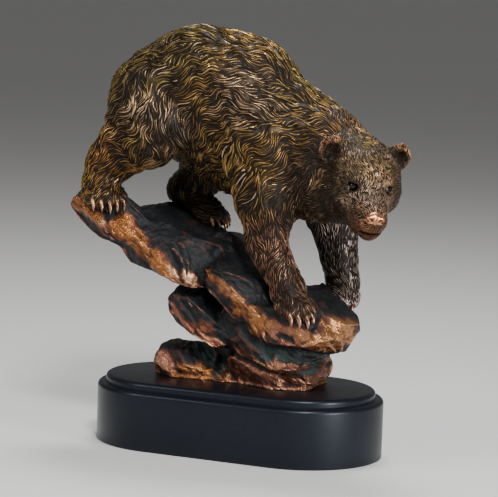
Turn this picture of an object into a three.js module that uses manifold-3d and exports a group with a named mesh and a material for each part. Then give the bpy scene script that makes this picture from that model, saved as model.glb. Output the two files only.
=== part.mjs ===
// Bear walking down a ledge: a cast sculpture on a moulded black plinth.
// Millimetres, +Z up. The origin is the middle of the plinth's underside,
// +X runs along the plinth the way the bear walks, and the near side faces -Y.

import * as THREE from "three";
import Module from "manifold-3d";

// Plinth: an oblong with half-round ends, in two tiers
const PLINTH_LENGTH = 210;
const PLINTH_WIDTH = 115;
const BODY_HEIGHT = 41.4;
const TIER_HEIGHT = 5.7;
const TIER_INSET = 5.8;
const SHOULDER_ROUND = 3.2;
const TIER_ROUND = 3.0;
const FOOT_ROUND = 1.2;
const PLINTH_TOP = BODY_HEIGHT + TIER_HEIGHT;
const END_SIDES = 32;

// Clay block that the casting is carved in
const GRID_STEP = 2.0;
const BLOCK_LOW = [-136, -74, 38];
const BLOCK_HIGH = [132, 66, 304];
const FAR_OUTSIDE = 25;

// Triangles kept on the casting, and how much closer the head and paws are kept
const CASTING_TRIANGLES = 8200;
const HEAD_CARE = 5;
const PAW_CARE = 3;

// Locks of fur
const LOCK_LENGTH = 27;
const LOCK_WIDTH = 5.6;
const LOCK_HEIGHT = 2.9;
const LOCK_SPACING = 9.2;
const LOCK_SWAY = 1.8;

// Turn applied round every stone and foot is an angle in degrees
const DEGREES = Math.PI / 180;
const GOLDEN_ANGLE = 2.399963;

// Joints of the bear's body
const AT = {
  rump: [-64.5, 0, 243],
  loin: [-37, 0, 246.5],
  ribs: [-9, 0, 242],
  hump: [41, 1, 226.5],
  withers: [30, -1, 214.5],
  neck: [58, -5, 205],
  nape: [84, -17, 198],
  groin: [-34, 0, 226],
  belly: [-6, 0, 214],
  brisket: [36, -2, 204],
  throat: [60, -14, 190],
  jowl: [78, -26, 186],
  tailRoot: [-95, 2, 248],
  tailTip: [-101, 2, 240],
  nearHip: [-62, -18, 240],
  nearThigh: [-53, -32, 226],
  nearSeat: [-68, -16, 234],
  nearHam: [-83, -27, 212],
  nearKnee: [-60, -34, 215.5],
  nearHock: [-91.5, -31, 197],
  nearHeel: [-97, -35, 182],
  farHip: [-54, 20, 238],
  farThigh: [-37, 30, 206],
  farKnee: [-38, 30, 200],
  farShank: [-48, 29, 187],
  farHeel: [-60, 28, 177],
  nearShoulder: [20, -18, 214],
  nearElbow: [29, -28, 180],
  nearForearm: [32, -33, 148],
  nearWrist: [50.5, -36, 121],
  farShoulder: [43, 20, 206],
  farElbow: [56, 25, 168],
  farWrist: [66, 22, 124],
  farElbowBack: [50, 26, 180],
  farElbowTip: [58, 25, 160],
};

// Muscles: from, to, radius at each end, flatness side to side, softness of the join
const MUSCLES = [
  ["rump", "loin", 36.5, 46, 0.84, 8],
  ["loin", "ribs", 46, 45.5, 0.84, 8],
  ["ribs", "withers", 45.5, 37, 0.86, 8],
  ["hump", "neck", 28, 34, 0.9, 8],
  ["withers", "neck", 37, 36, 0.86, 8],
  ["neck", "nape", 36, 27, 0.95, 8],
  ["groin", "belly", 30, 31.5, 0.9, 8],
  ["belly", "brisket", 31.5, 34, 0.95, 8],
  ["throat", "jowl", 24, 20, 1, 8],
  ["tailRoot", "tailTip", 8, 5, 1, 4],
  ["nearHip", "nearThigh", 34, 21, 0.9, 8],
  ["nearSeat", "nearHam", 26.5, 17, 1, 8],
  ["nearThigh", "nearKnee", 20, 18, 1, 7],
  ["nearKnee", "nearHock", 17, 14, 1, 6],
  ["nearHock", "nearHeel", 15, 12.5, 1, 5],
  ["farHip", "farThigh", 30, 23, 0.9, 8],
  ["farKnee", "farShank", 20, 14, 1, 6],
  ["farShank", "farHeel", 14, 11, 1, 6],
  ["nearShoulder", "nearElbow", 31.5, 20.5, 1, 9],
  ["nearElbow", "nearForearm", 20, 13, 1, 6],
  ["nearForearm", "nearWrist", 13, 11.2, 1, 5],
  ["farShoulder", "farElbow", 29, 18, 1, 9],
  ["farElbow", "farWrist", 17.5, 11.5, 1, 6],
  ["farElbowBack", "farElbowTip", 15, 10, 1, 6],
];

// Paws: heel, ball, way they point, slope, width and height
const PAWS = [
  { heel: [-95, -35, 180], ball: [-87, -44, 174], turn: -45, slope: 20, width: 14, height: 8.5 },
  { heel: [-60, 28, 176], ball: [-34, 22, 160], turn: -14, slope: 24, width: 12, height: 8 },
  { heel: [50, -37, 117], ball: [61, -43, 107.5], turn: -27, slope: 30, width: 15, height: 8.5 },
  { heel: [67, 22, 118], ball: [68, 11, 109], turn: -74, slope: 30, width: 13, height: 8.5 },
];
const TOES = [-1, -0.5, 0, 0.5, 1];
const CLAW_SIDES = 5;

// Head: middle of the skull, and the way it is turned toward the near side
const HEAD = { middle: [96.5, -27, 198.5], turn: -56, dip: 17, tilt: 5.5 };

// Stones: centre, half sizes (along, across, up), tilt down toward +X, turn, lean to the
// near side, number of knocked-off faces, and the number that sets where they fall
const STONES = [
  { at: [-87.5, -25, 158.5], size: [38, 25, 11.5], tilt: 30, turn: 4, lean: 2, faces: 30, seed: 1 },
  { at: [-46, -6, 142], size: [49, 43, 12], tilt: 26, turn: 0, lean: -15, faces: 34, seed: 2 },
  { at: [2, 6, 121], size: [44, 40, 12.2], tilt: 34, turn: 0, lean: -12, faces: 34, seed: 12 },
  { at: [18, -14, 116], size: [40, 36, 13], tilt: 34, turn: 0, lean: -14, faces: 34, seed: 3 },
  { at: [52, -12, 96.5], size: [41, 42, 14], tilt: 13, turn: -4, lean: -3, faces: 34, seed: 4 },
  { at: [-18, -6, 93], size: [34, 32, 12.5], tilt: 34, turn: 0, lean: -6, faces: 30, seed: 5 },
  { at: [28, -4, 80], size: [44, 34, 14], tilt: 22, turn: 0, lean: -4, faces: 32, seed: 6 },
  { at: [28, 4, 63], size: [38, 30, 13], tilt: 12, turn: 0, lean: -4, faces: 32, seed: 16 },
  { at: [27, 8, 52], size: [36, 27, 11], tilt: 2, turn: 0, lean: -2, faces: 30, seed: 7 },
  { at: [-38, 7, 55], size: [29, 26, 14], tilt: 6, turn: 0, lean: -4, faces: 28, seed: 8 },
  { at: [-2, 11, 50], size: [44, 23, 12], tilt: 0, turn: 0, lean: 0, faces: 28, seed: 9 },
];
const STONE_KNOCKS = 0.22;
const STONE_BULGE = 1.3;
const STONE_EDGE = 1.5;

// Way the fur lies: a place on the body, the direction there, and how long the fur is
const COAT = [
  { at: [-80, 0, 270], lie: [-0.8, 0, -0.5], length: 0.9 },
  { at: [-100, 0, 235], lie: [-0.2, 0, -1], length: 0.9 },
  { at: [-30, 0, 295], lie: [-1, 0, -0.1], length: 0.9 },
  { at: [-40, -40, 250], lie: [-0.8, 0, -0.7], length: 1 },
  { at: [-40, 40, 250], lie: [-0.8, 0, -0.7], length: 1 },
  { at: [-60, -45, 215], lie: [-0.6, 0, -0.9], length: 1 },
  { at: [-60, 40, 205], lie: [-0.5, 0, -0.9], length: 1 },
  { at: [-100, -35, 190], lie: [0.1, -0.1, -1], length: 0.6 },
  { at: [0, -42, 215], lie: [-0.6, 0, -0.9], length: 1 },
  { at: [0, 42, 215], lie: [-0.6, 0, -0.9], length: 1 },
  { at: [0, 0, 175], lie: [-1, 0, -0.4], length: 1 },
  { at: [40, 0, 255], lie: [-1, 0, 0.5], length: 1 },
  { at: [30, -50, 190], lie: [-0.2, 0, -1], length: 1 },
  { at: [50, 50, 190], lie: [-0.2, 0, -1], length: 1 },
  { at: [38, -40, 150], lie: [0.2, 0, -1], length: 0.6 },
  { at: [62, 30, 150], lie: [0.2, 0, -1], length: 0.6 },
  { at: [70, -45, 195], lie: [-0.7, 0.2, -0.8], length: 1 },
  { at: [85, 10, 220], lie: [-0.8, 0.5, -0.1], length: 0.8 },
  { at: [90, 5, 180], lie: [-0.7, 0.2, -0.8], length: 0.8 },
  { at: [112, -50, 185], lie: [-0.6, 0.7, 0.4], length: 0 },
  { at: [100, -35, 222], lie: [-0.6, 0.7, 0.4], length: 0.35 },
];

// Small vector sums

const add = (a, b, t = 1) => [a[0] + b[0] * t, a[1] + b[1] * t, a[2] + b[2] * t];
const dot = (a, b) => a[0] * b[0] + a[1] * b[1] + a[2] * b[2];
const cross = (a, b) => [
  a[1] * b[2] - a[2] * b[1],
  a[2] * b[0] - a[0] * b[2],
  a[0] * b[1] - a[1] * b[0],
];
const unit = (a) => {
  const size = Math.hypot(a[0], a[1], a[2]) || 1;
  return [a[0] / size, a[1] / size, a[2] / size];
};
const scatter = (n) => {
  const wave = Math.sin(n * 78.233) * 43758.5453;
  return wave - Math.floor(wave);
};

// Forward, left and up of something turned about Z, dipped down and then rolled
function facing(turn, dip, roll) {
  const [y, p, r] = [turn * DEGREES, dip * DEGREES, roll * DEGREES];
  const forward = [Math.cos(y) * Math.cos(p), Math.sin(y) * Math.cos(p), -Math.sin(p)];
  const side = [-Math.sin(y), Math.cos(y), 0];
  const top = cross(forward, side);
  const left = add([side[0] * Math.cos(r), side[1] * Math.cos(r), side[2] * Math.cos(r)], top, -Math.sin(r));
  const up = add([side[0] * Math.sin(r), side[1] * Math.sin(r), side[2] * Math.sin(r)], top, Math.cos(r));
  return [forward, left, up];
}

// A block of clay: the distance to its surface, under zero inside, on a grid of points
class Clay {
  constructor(low, high, step) {
    this.low = low;
    this.step = step;
    this.count = low.map((from, i) => Math.ceil((high[i] - from) / step) + 1);
    this.stride = [this.count[1] * this.count[2], this.count[2], 1];
    this.depth = new Float32Array(this.count[0] * this.stride[0]).fill(FAR_OUTSIDE);
  }

  // Runs work(index, x, y, z) at the grid points inside a box
  each(from, to, work) {
    const first = from.map((v, i) => Math.max(0, Math.floor((v - this.low[i]) / this.step)));
    const last = to.map((v, i) =>
      Math.min(this.count[i] - 1, Math.ceil((v - this.low[i]) / this.step)));
    for (let i = first[0]; i <= last[0]; i++) {
      const x = this.low[0] + i * this.step;
      for (let j = first[1]; j <= last[1]; j++) {
        const y = this.low[1] + j * this.step;
        let index = i * this.stride[0] + j * this.stride[1] + first[2];
        for (let k = first[2]; k <= last[2]; k++, index++) {
          work(index, x, y, this.low[2] + k * this.step);
        }
      }
    }
  }

  // Joins a shape on, or cuts it away, with a fillet of the given softness
  put(from, to, distance, soft, cut = false) {
    const margin = soft + 3 * this.step;
    const depth = this.depth;
    this.each(from.map((v) => v - margin), to.map((v) => v + margin), (index, x, y, z) => {
      const fresh = distance(x, y, z);
      const old = depth[index];
      const other = cut ? -fresh : fresh;
      const near = Math.max(soft - Math.abs(old - other), 0) / soft;
      const fillet = near * near * soft * 0.25;
      depth[index] = cut ? Math.max(old, other) + fillet : Math.min(old, other) - fillet;
    });
  }

  // A tapering limb between two points, which can be flatter along one direction
  limb(a, b, radiusA, radiusB, soft, flat = 1, across = [0, 1, 0]) {
    const along = add(b, a, -1);
    const long = Math.max(dot(along, along), 1e-9);
    const reach = Math.max(radiusA, radiusB);
    const from = a.map((v, i) => Math.min(v, b[i]) - reach);
    const to = a.map((v, i) => Math.max(v, b[i]) + reach);
    this.put(from, to, (x, y, z) => {
      const p = [x - a[0], y - a[1], z - a[2]];
      const t = Math.min(1, Math.max(0, dot(p, along) / long));
      let off = add(p, along, -t);
      off = add(off, across, (1 / flat - 1) * dot(off, across));
      return (Math.hypot(off[0], off[1], off[2]) - radiusA - (radiusB - radiusA) * t) * flat;
    }, soft);
  }

  // An egg with three half sizes along three directions
  egg(middle, size, soft, axes, cut = false) {
    const reach = Math.max(size[0], size[1], size[2]);
    this.put(middle.map((v) => v - reach), middle.map((v) => v + reach), (x, y, z) => {
      const p = [x - middle[0], y - middle[1], z - middle[2]];
      const q = axes.map((axis, i) => dot(p, axis) / size[i]);
      const length = Math.hypot(q[0], q[1], q[2]);
      const slope = Math.hypot(q[0] / size[0], q[1] / size[1], q[2] / size[2]);
      return (length * (length - 1)) / Math.max(slope, 1e-4);
    }, soft, cut);
  }

  // A stone with flat faces knocked off all round
  stone({ at, size, tilt, turn, lean, faces, seed }, soft) {
    const axes = facing(turn, tilt, lean);
    const planes = [];
    for (let i = 0; i < faces; i++) {
      const up = 1 - (2 * (i + 0.5)) / faces;
      const round = Math.sqrt(1 - up * up);
      const angle = GOLDEN_ANGLE * i + seed;
      const n = [round * Math.cos(angle), round * Math.sin(angle), up];
      const bulge = n.reduce((sum, v, k) => sum + Math.abs(v * size[k]) ** STONE_BULGE, 0);
      const keep = 1 - STONE_KNOCKS * scatter(i + seed * 3);
      const normal = add(add(axes[0].map((v) => v * n[0]), axes[1], n[1]), axes[2], n[2]);
      planes.push([normal, keep * bulge ** (1 / STONE_BULGE)]);
    }
    const reach = Math.max(size[0], size[1], size[2]) * 1.3;
    this.put(at.map((v) => v - reach), at.map((v) => v + reach), (x, y, z) => {
      const p = [x - at[0], y - at[1], z - at[2]];
      let depth = -1e9;
      for (const [normal, reachOut] of planes) {
        const beyond = dot(p, normal) - reachOut;
        const near = Math.max(STONE_EDGE - Math.abs(depth - beyond), 0) / STONE_EDGE;
        depth = Math.max(depth, beyond) + near * near * STONE_EDGE * 0.25;
      }
      return depth;
    }, soft);
  }

  // Takes away everything below a level
  trimBelow(level) {
    const { depth, low, count, step } = this;
    for (let i = 0; i < depth.length; i++) {
      depth[i] = Math.max(depth[i], level - low[2] - (i % count[2]) * step);
    }
  }

  // The way out of the clay at a grid point
  outward(index) {
    const d = this.depth;
    const [sx, sy, sz] = this.stride;
    return unit([
      d[index + sx] - d[index - sx],
      d[index + sy] - d[index - sy],
      d[index + sz] - d[index - sz],
    ]);
  }

  // The surface as one closed mesh: each grid cube is split into six tetrahedra
  surface() {
    const { depth, count, stride, step, low } = this;
    const least = 0.08 * step;
    const value = (index) => {
      const v = depth[index];
      return Math.abs(v) < least ? (v < 0 ? -least : least) : v;
    };
    const corner = [];
    for (let c = 0; c < 8; c++) {
      corner.push((c & 1 ? stride[0] : 0) + (c & 2 ? stride[1] : 0) + (c & 4 ? stride[2] : 0));
    }
    const paths = [[1, 3], [1, 5], [2, 3], [2, 6], [4, 5], [4, 6]];
    const points = [];
    const faces = [];
    const known = new Map();
    const place = (index) => {
      const i = Math.floor(index / stride[0]);
      const j = Math.floor((index - i * stride[0]) / stride[1]);
      const k = index - i * stride[0] - j * stride[1];
      return [low[0] + i * step, low[1] + j * step, low[2] + k * step];
    };
    const crossing = (a, b) => {
      const [p, q] = a < b ? [a, b] : [b, a];
      const key = p * 8 + corner.indexOf(q - p);
      if (known.has(key)) return known.get(key);
      const t = value(p) / (value(p) - value(q));
      const from = place(p);
      const to = place(q);
      const id = points.length / 3;
      points.push(from[0] + (to[0] - from[0]) * t);
      points.push(from[1] + (to[1] - from[1]) * t);
      points.push(from[2] + (to[2] - from[2]) * t);
      known.set(key, id);
      return id;
    };
    const tetrahedron = (ids, odd) => {
      const inside = ids.filter((id) => value(id) < 0);
      const outside = ids.filter((id) => value(id) >= 0);
      if (!inside.length || !outside.length) return;
      let ring;
      if (inside.length === 1) ring = outside.map((id) => crossing(inside[0], id));
      else if (outside.length === 1) ring = inside.map((id) => crossing(outside[0], id));
      else {
        ring = [
          crossing(inside[0], outside[0]), crossing(inside[0], outside[1]),
          crossing(inside[1], outside[1]), crossing(inside[1], outside[0]),
        ];
      }
      const at = (id) => points.slice(id * 3, id * 3 + 3);
      const normal = cross(add(at(ring[1]), at(ring[0]), -1), add(at(ring[2]), at(ring[0]), -1));
      const out = add(place(outside[0]), place(inside[0]), -1);
      if (dot(normal, out) < 0) ring.reverse();
      for (let i = 2; i < ring.length; i++) faces.push(ring[0], ring[i - 1], ring[i]);
    };
    for (let i = 0; i < count[0] - 1; i++) {
      for (let j = 0; j < count[1] - 1; j++) {
        for (let k = 0; k < count[2] - 1; k++) {
          const base = i * stride[0] + j * stride[1] + k;
          let filled = 0;
          for (let c = 0; c < 8; c++) if (depth[base + corner[c]] < 0) filled++;
          if (filled === 0 || filled === 8) continue;
          for (const [one, two] of paths) {
            tetrahedron([base, base + corner[one], base + corner[two], base + corner[7]]);
          }
        }
      }
    }
    return { points: Float64Array.from(points), faces: Int32Array.from(faces) };
  }
}

// The bear

function body(clay) {
  for (const [from, to, a, b, flat, soft] of MUSCLES) clay.limb(AT[from], AT[to], a, b, soft, flat);
}

// Where each toe of a paw begins, with the paw's own directions
function toes(paw) {
  const axes = facing(paw.turn, paw.slope, 0);
  return TOES.map((s) => {
    const side = add(paw.ball, axes[1], s * paw.width * 0.8);
    return { root: add(side, axes[0], 3 - 4 * Math.abs(s)), axes };
  });
}

function pawClay(clay, paw) {
  const { heel, ball, height } = paw;
  clay.limb(heel, ball, height + 3, height + 1, 5);
  for (const { root, axes } of toes(paw)) {
    clay.limb(add(root, axes[0], -5), add(root, axes[0], 3), height * 0.55, height * 0.5, 2.2);
  }
}

// Places and directions of the head's own frame
const HEAD_AXES = facing(HEAD.turn, HEAD.dip, HEAD.tilt);
const onHead = (f, l, u) =>
  add(add(add(HEAD.middle, HEAD_AXES[0], f), HEAD_AXES[1], l), HEAD_AXES[2], u);

function skull(clay) {
  clay.egg(onHead(0, 0, 0), [29, 25.5, 23.5], 6, HEAD_AXES);
  clay.egg(onHead(-14, 0, -4), [26, 28, 27], 8, HEAD_AXES);
  clay.limb(onHead(16, 0, -4), onHead(43, 0, -12), 16, 10.5, 6);
  clay.limb(onHead(12, 0, -17), onHead(42, 0, -20), 15, 7, 5);
  for (const side of [-1, 1]) {
    clay.egg(onHead(3, side * 14, -8), [17, 13, 14], 6, HEAD_AXES);
    clay.egg(onHead(19, side * 8.5, 8), [9, 7.5, 5.5], 4, HEAD_AXES);
  }
}

function face(clay) {
  for (const side of [-1, 1]) {
    clay.egg(onHead(-5, side * 22.8, 15.8), [5, 8.8, 9.6], 2.2, HEAD_AXES);
    clay.egg(onHead(0, side * 23.4, 16.2), [4.4, 6.4, 7], 1.5, HEAD_AXES, true);
    clay.egg(onHead(25, side * 10.8, 2.8), [4, 4.6, 3.4], 2, HEAD_AXES, true);
    clay.egg(onHead(23, side * 10.7, 2.6), [3.2, 3.2, 3.2], 0.6, HEAD_AXES);
    clay.egg(onHead(54, side * 3.4, -7.2), [2.6, 1.7, 1.5], 0.8, HEAD_AXES, true);
  }
  clay.egg(onHead(51, 0, -7.7), [4.5, 6.4, 4.4], 2, HEAD_AXES);
  clay.egg(onHead(49, 0, -16.5), [9, 7.5, 0.9], 1, HEAD_AXES, true);
}

// Way the fur lies and how long it is at a place, from the nearest marks of the coat
function coatAt(p) {
  let total = 0;
  let lie = [0, 0, 0];
  let length = 0;
  for (const mark of COAT) {
    const away = add(p, mark.at, -1);
    const share = 1 / (dot(away, away) + 60) ** 2;
    total += share;
    lie = add(lie, unit(mark.lie), share);
    length += mark.length * share;
  }
  return { lie, length: length / total };
}

// Roots of the locks, spread evenly over the clay's surface
function lockRoots(clay) {
  const found = [];
  const { depth, step, low, count, stride } = clay;
  for (let i = 2; i < count[0] - 2; i++) {
    for (let j = 2; j < count[1] - 2; j++) {
      for (let k = 2; k < count[2] - 2; k++) {
        const index = i * stride[0] + j * stride[1] + k;
        if (Math.abs(depth[index]) > step * 0.5) continue;
        found.push({ index, at: [low[0] + i * step, low[1] + j * step, low[2] + k * step] });
      }
    }
  }
  found.sort((a, b) => scatter(a.index % 9973) - scatter(b.index % 9973) || a.index - b.index);
  const taken = new Map();
  const cell = (p) => p.map((v) => Math.floor(v / LOCK_SPACING));
  return found.filter(({ at }) => {
    const [cx, cy, cz] = cell(at);
    for (let i = -1; i <= 1; i++) {
      for (let j = -1; j <= 1; j++) {
        for (let k = -1; k <= 1; k++) {
          for (const other of taken.get(`${cx + i},${cy + j},${cz + k}`) ?? []) {
            const away = add(at, other, -1);
            if (dot(away, away) < LOCK_SPACING ** 2) return false;
          }
        }
      }
    }
    const key = `${cx},${cy},${cz}`;
    taken.set(key, [...(taken.get(key) ?? []), at]);
    return true;
  });
}

// Raises overlapping locks of fur, each a wavy ridge that ends in a point
function comb(clay) {
  const raised = new Float32Array(clay.depth.length);
  lockRoots(clay).forEach(({ index, at }, number) => {
    const out = clay.outward(index);
    const coat = coatAt(at);
    if (coat.length < 0.12) return;
    const slack = (scatter(number + 0.5) - 0.5) * 0.7;
    const level = unit(add(coat.lie, out, -dot(coat.lie, out)));
    const turned = cross(out, level);
    const along = unit(add(level, turned, slack));
    const across = cross(out, along);
    const long = LOCK_LENGTH * (0.55 + 0.45 * coat.length);
    const wide = LOCK_WIDTH * (0.6 + 0.4 * coat.length);
    const high = LOCK_HEIGHT * coat.length * (0.75 + 0.5 * scatter(number + 0.25));
    const phase = scatter(number + 0.75) * Math.PI * 2;
    const reach = long * 0.5 + 1;
    clay.each(at.map((v) => v - reach), at.map((v) => v + reach), (spot, x, y, z) => {
      const p = [x - at[0], y - at[1], z - at[2]];
      if (Math.abs(dot(p, out)) > 9) return;
      const t = dot(p, along) / long + 0.5;
      if (t <= 0 || t >= 1) return;
      const bend = LOCK_SWAY * Math.sin(t * Math.PI * 2 + phase);
      const width = wide * Math.min(1, 2.2 * t) ** 0.5 * (1 - t ** 3);
      const off = Math.abs(dot(p, across) - bend) / Math.max(width, 0.1);
      if (off >= 1) return;
      const rise = high * Math.min(1, 0.25 + 1.6 * t) * Math.min(1, 5 * (1 - t)) * (1 - off ** 1.5);
      raised[spot] = Math.max(raised[spot], rise);
    });
  });
  for (let i = 0; i < raised.length; i++) clay.depth[i] -= raised[i] - LOCK_HEIGHT * 0.25;
}

// Fewer triangles

// Care taken of the shape at a place: the face and the paws are kept closest
function care(x, y, z) {
  if (Math.hypot(x - HEAD.middle[0] - 8, y - HEAD.middle[1] + 10, z - HEAD.middle[2]) < 48) {
    return HEAD_CARE;
  }
  for (const { ball } of PAWS) {
    if (Math.hypot(x - ball[0], y - ball[1], z - ball[2]) < 20) return PAW_CARE;
  }
  return 1;
}

// Joins the ends of edges, cheapest first, until only so many triangles are left.
// The cost of a place is its squared distance to the planes that once met there.
function simplify({ points, faces }, wanted) {
  const vertexCount = points.length / 3;
  const triangleCount = faces.length / 3;
  const planes = new Float64Array(vertexCount * 10);
  const around = Array.from({ length: vertexCount }, () => []);
  const alive = new Uint8Array(triangleCount).fill(1);
  const stamp = new Int32Array(vertexCount);
  const at = (v) => [points[v * 3], points[v * 3 + 1], points[v * 3 + 2]];
  const normalOf = (a, b, c) => cross(add(b, a, -1), add(c, a, -1));

  for (let f = 0; f < triangleCount; f++) {
    const ids = [faces[f * 3], faces[f * 3 + 1], faces[f * 3 + 2]];
    const [a, b, c] = ids.map(at);
    const n = normalOf(a, b, c);
    const area = Math.hypot(n[0], n[1], n[2]);
    for (const id of ids) around[id].push(f);
    if (area < 1e-12) continue;
    const u = [n[0] / area, n[1] / area, n[2] / area];
    const d = -dot(u, a);
    const weight = area * care(a[0], a[1], a[2]);
    const plane = [u[0], u[1], u[2], d];
    for (const id of ids) {
      let slot = id * 10;
      for (let i = 0; i < 4; i++) {
        for (let j = i; j < 4; j++) planes[slot++] += plane[i] * plane[j] * weight;
      }
    }
  }

  const sum = new Float64Array(10);
  const costAt = (p) => {
    const [x, y, z] = p;
    return sum[0] * x * x + 2 * sum[1] * x * y + 2 * sum[2] * x * z + 2 * sum[3] * x +
      sum[4] * y * y + 2 * sum[5] * y * z + 2 * sum[6] * y +
      sum[7] * z * z + 2 * sum[8] * z + sum[9];
  };
  const bestPlace = (a, b) => {
    for (let i = 0; i < 10; i++) sum[i] = planes[a * 10 + i] + planes[b * 10 + i];
    const [pa, pb] = [at(a), at(b)];
    const middle = pa.map((v, i) => (v + pb[i]) / 2);
    const rows = [[sum[0], sum[1], sum[2]], [sum[1], sum[4], sum[5]], [sum[2], sum[5], sum[7]]];
    const right = [-sum[3], -sum[6], -sum[8]];
    const size = dot(rows[0], cross(rows[1], rows[2]));
    const scale = (sum[0] + sum[4] + sum[7]) ** 3;
    let choices = [pa, pb, middle];
    if (Math.abs(size) > 1e-5 * scale) {
      const column = (k) => rows.map((row) => row[k]);
      const [cx, cy, cz] = [column(0), column(1), column(2)];
      const spot = [
        dot(right, cross(cy, cz)) / size,
        dot(cx, cross(right, cz)) / size,
        dot(cx, cross(cy, right)) / size,
      ];
      const away = add(spot, middle, -1);
      const edge = add(pa, pb, -1);
      if (dot(away, away) < dot(edge, edge) * 4) choices = [spot];
    }
    let best = choices[0];
    let least = Infinity;
    for (const choice of choices) {
      const cost = costAt(choice);
      if (cost < least) [least, best] = [cost, choice];
    }
    const edge = add(pa, pb, -1);
    return { place: best, cost: Math.max(least, 0) + 1e-6 * dot(edge, edge) };
  };

  // A heap of edges, the cheapest on top
  const heap = [];
  const swap = (i, j) => {
    const held = heap[i];
    heap[i] = heap[j];
    heap[j] = held;
  };
  const push = (item) => {
    heap.push(item);
    let i = heap.length - 1;
    while (i > 0) {
      const parent = (i - 1) >> 1;
      if (heap[parent].cost <= heap[i].cost) break;
      swap(i, parent);
      i = parent;
    }
  };
  const pop = () => {
    const top = heap[0];
    const last = heap.pop();
    if (heap.length) {
      heap[0] = last;
      let i = 0;
      for (;;) {
        const left = 2 * i + 1;
        if (left >= heap.length) break;
        const right = left + 1;
        const child = right < heap.length && heap[right].cost < heap[left].cost ? right : left;
        if (heap[i].cost <= heap[child].cost) break;
        swap(i, child);
        i = child;
      }
    }
    return top;
  };
  const offer = (a, b) => {
    const { place, cost } = bestPlace(a, b);
    push({ a, b, place, cost, stampA: stamp[a], stampB: stamp[b] });
  };
  const cornersOf = (f) => [faces[f * 3], faces[f * 3 + 1], faces[f * 3 + 2]];
  const neighbours = (v) => {
    const set = new Set();
    for (const f of around[v]) {
      for (const id of cornersOf(f)) if (id !== v) set.add(id);
    }
    return set;
  };
  for (let f = 0; f < triangleCount; f++) {
    const [a, b, c] = cornersOf(f);
    for (const [p, q] of [[a, b], [b, c], [c, a]]) if (p < q) offer(p, q);
  }

  // True where moving a corner would turn a triangle over or thin it to a sliver
  const spoils = (v, other, place) => around[v].some((f) => {
    const ids = cornersOf(f);
    if (ids.includes(other)) return false;
    const before = ids.map(at);
    const after = ids.map((id) => (id === v ? place : at(id)));
    const n = normalOf(...after);
    const size = Math.hypot(n[0], n[1], n[2]);
    const longest = Math.max(...[0, 1, 2].map((i) => {
      const e = add(after[i], after[(i + 1) % 3], -1);
      return dot(e, e);
    }));
    if (size < 0.04 * longest) return true;
    return dot(unit(normalOf(...before)), n) < 0.25 * size;
  });

  let left = triangleCount;
  while (left > wanted && heap.length) {
    const { a, b, place, stampA, stampB } = pop();
    if (stamp[a] !== stampA || stamp[b] !== stampB) continue;
    const [ringA, ringB] = [neighbours(a), neighbours(b)];
    let shared = 0;
    for (const id of ringA) if (ringB.has(id)) shared++;
    if (shared !== 2 || spoils(a, b, place) || spoils(b, a, place)) continue;
    points.set(place, a * 3);
    for (let i = 0; i < 10; i++) planes[a * 10 + i] += planes[b * 10 + i];
    for (const f of around[b]) {
      if (cornersOf(f).includes(a)) {
        alive[f] = 0;
        left--;
        for (const id of cornersOf(f)) {
          if (id !== b) around[id] = around[id].filter((g) => g !== f);
        }
      } else {
        for (let i = 0; i < 3; i++) if (faces[f * 3 + i] === b) faces[f * 3 + i] = a;
        around[a].push(f);
      }
    }
    around[b] = [];
    stamp[b] = -1;
    stamp[a]++;
    for (const id of neighbours(a)) offer(a, id);
  }
  const kept = [];
  for (let f = 0; f < triangleCount; f++) if (alive[f]) kept.push(...cornersOf(f));
  return { points, faces: kept };
}

// Solids

const wasm = await Module();
wasm.setup();

// A closed solid from points and faces, with the unused points left out
function solid({ points, faces }) {
  const known = new Map();
  const vertices = [];
  const triangles = Uint32Array.from(faces, (id) => {
    if (!known.has(id)) {
      known.set(id, known.size);
      vertices.push(points[id * 3], points[id * 3 + 1], points[id * 3 + 2]);
    }
    return known.get(id);
  });
  const mesh = { numProp: 3, vertProperties: Float32Array.from(vertices), triVerts: triangles };
  return new wasm.Manifold(new wasm.Mesh(mesh));
}

// A solid from three.js geometry, with its doubled corners joined
function solidOf(geometry) {
  const place = geometry.getAttribute("position");
  const index = geometry.getIndex();
  const known = new Map();
  const points = [];
  const ids = Array.from({ length: place.count }, (_, i) => {
    const p = [place.getX(i), place.getY(i), place.getZ(i)];
    const key = p.map((v) => Math.round(v * 1e4)).join();
    if (!known.has(key)) {
      known.set(key, points.length / 3);
      points.push(...p);
    }
    return known.get(key);
  });
  const faces = [];
  for (let i = 0; i < index.count; i += 3) {
    const [a, b, c] = [0, 1, 2].map((k) => ids[index.getX(i + k)]);
    if (a !== b && b !== c && c !== a) faces.push(a, b, c);
  }
  return solid({ points, faces });
}

// One claw: a bent horn that comes out of a toe and curls down to a point
function claw({ root, axes }, size) {
  const points = [];
  const faces = [];
  const stations = [[4.5, 0.6, 2.1], [8.5, -0.6, 1.7], [11.5, -3.4, 1.1]];
  for (const [f, u, radius] of stations) {
    const middle = add(add(root, axes[0], f * size), axes[2], u * size);
    for (let i = 0; i < CLAW_SIDES; i++) {
      const angle = (i / CLAW_SIDES) * Math.PI * 2;
      const side = add(middle, axes[1], radius * size * Math.cos(angle));
      points.push(...add(side, axes[2], radius * size * Math.sin(angle)));
    }
  }
  const first = points.length / 3;
  points.push(...add(add(root, axes[0], stations[0][0] * size), axes[2], stations[0][1] * size));
  points.push(...add(add(root, axes[0], 12.8 * size), axes[2], -6.6 * size));
  for (let i = 0; i < CLAW_SIDES; i++) {
    const next = (i + 1) % CLAW_SIDES;
    faces.push(first, next, i);
    for (let ring = 0; ring < stations.length - 1; ring++) {
      const [a, b] = [ring * CLAW_SIDES + i, ring * CLAW_SIDES + next];
      faces.push(a, b, b + CLAW_SIDES, a, b + CLAW_SIDES, a + CLAW_SIDES);
    }
    const end = (stations.length - 1) * CLAW_SIDES;
    faces.push(end + i, end + next, first + 1);
  }
  return solid({ points, faces });
}

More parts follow.
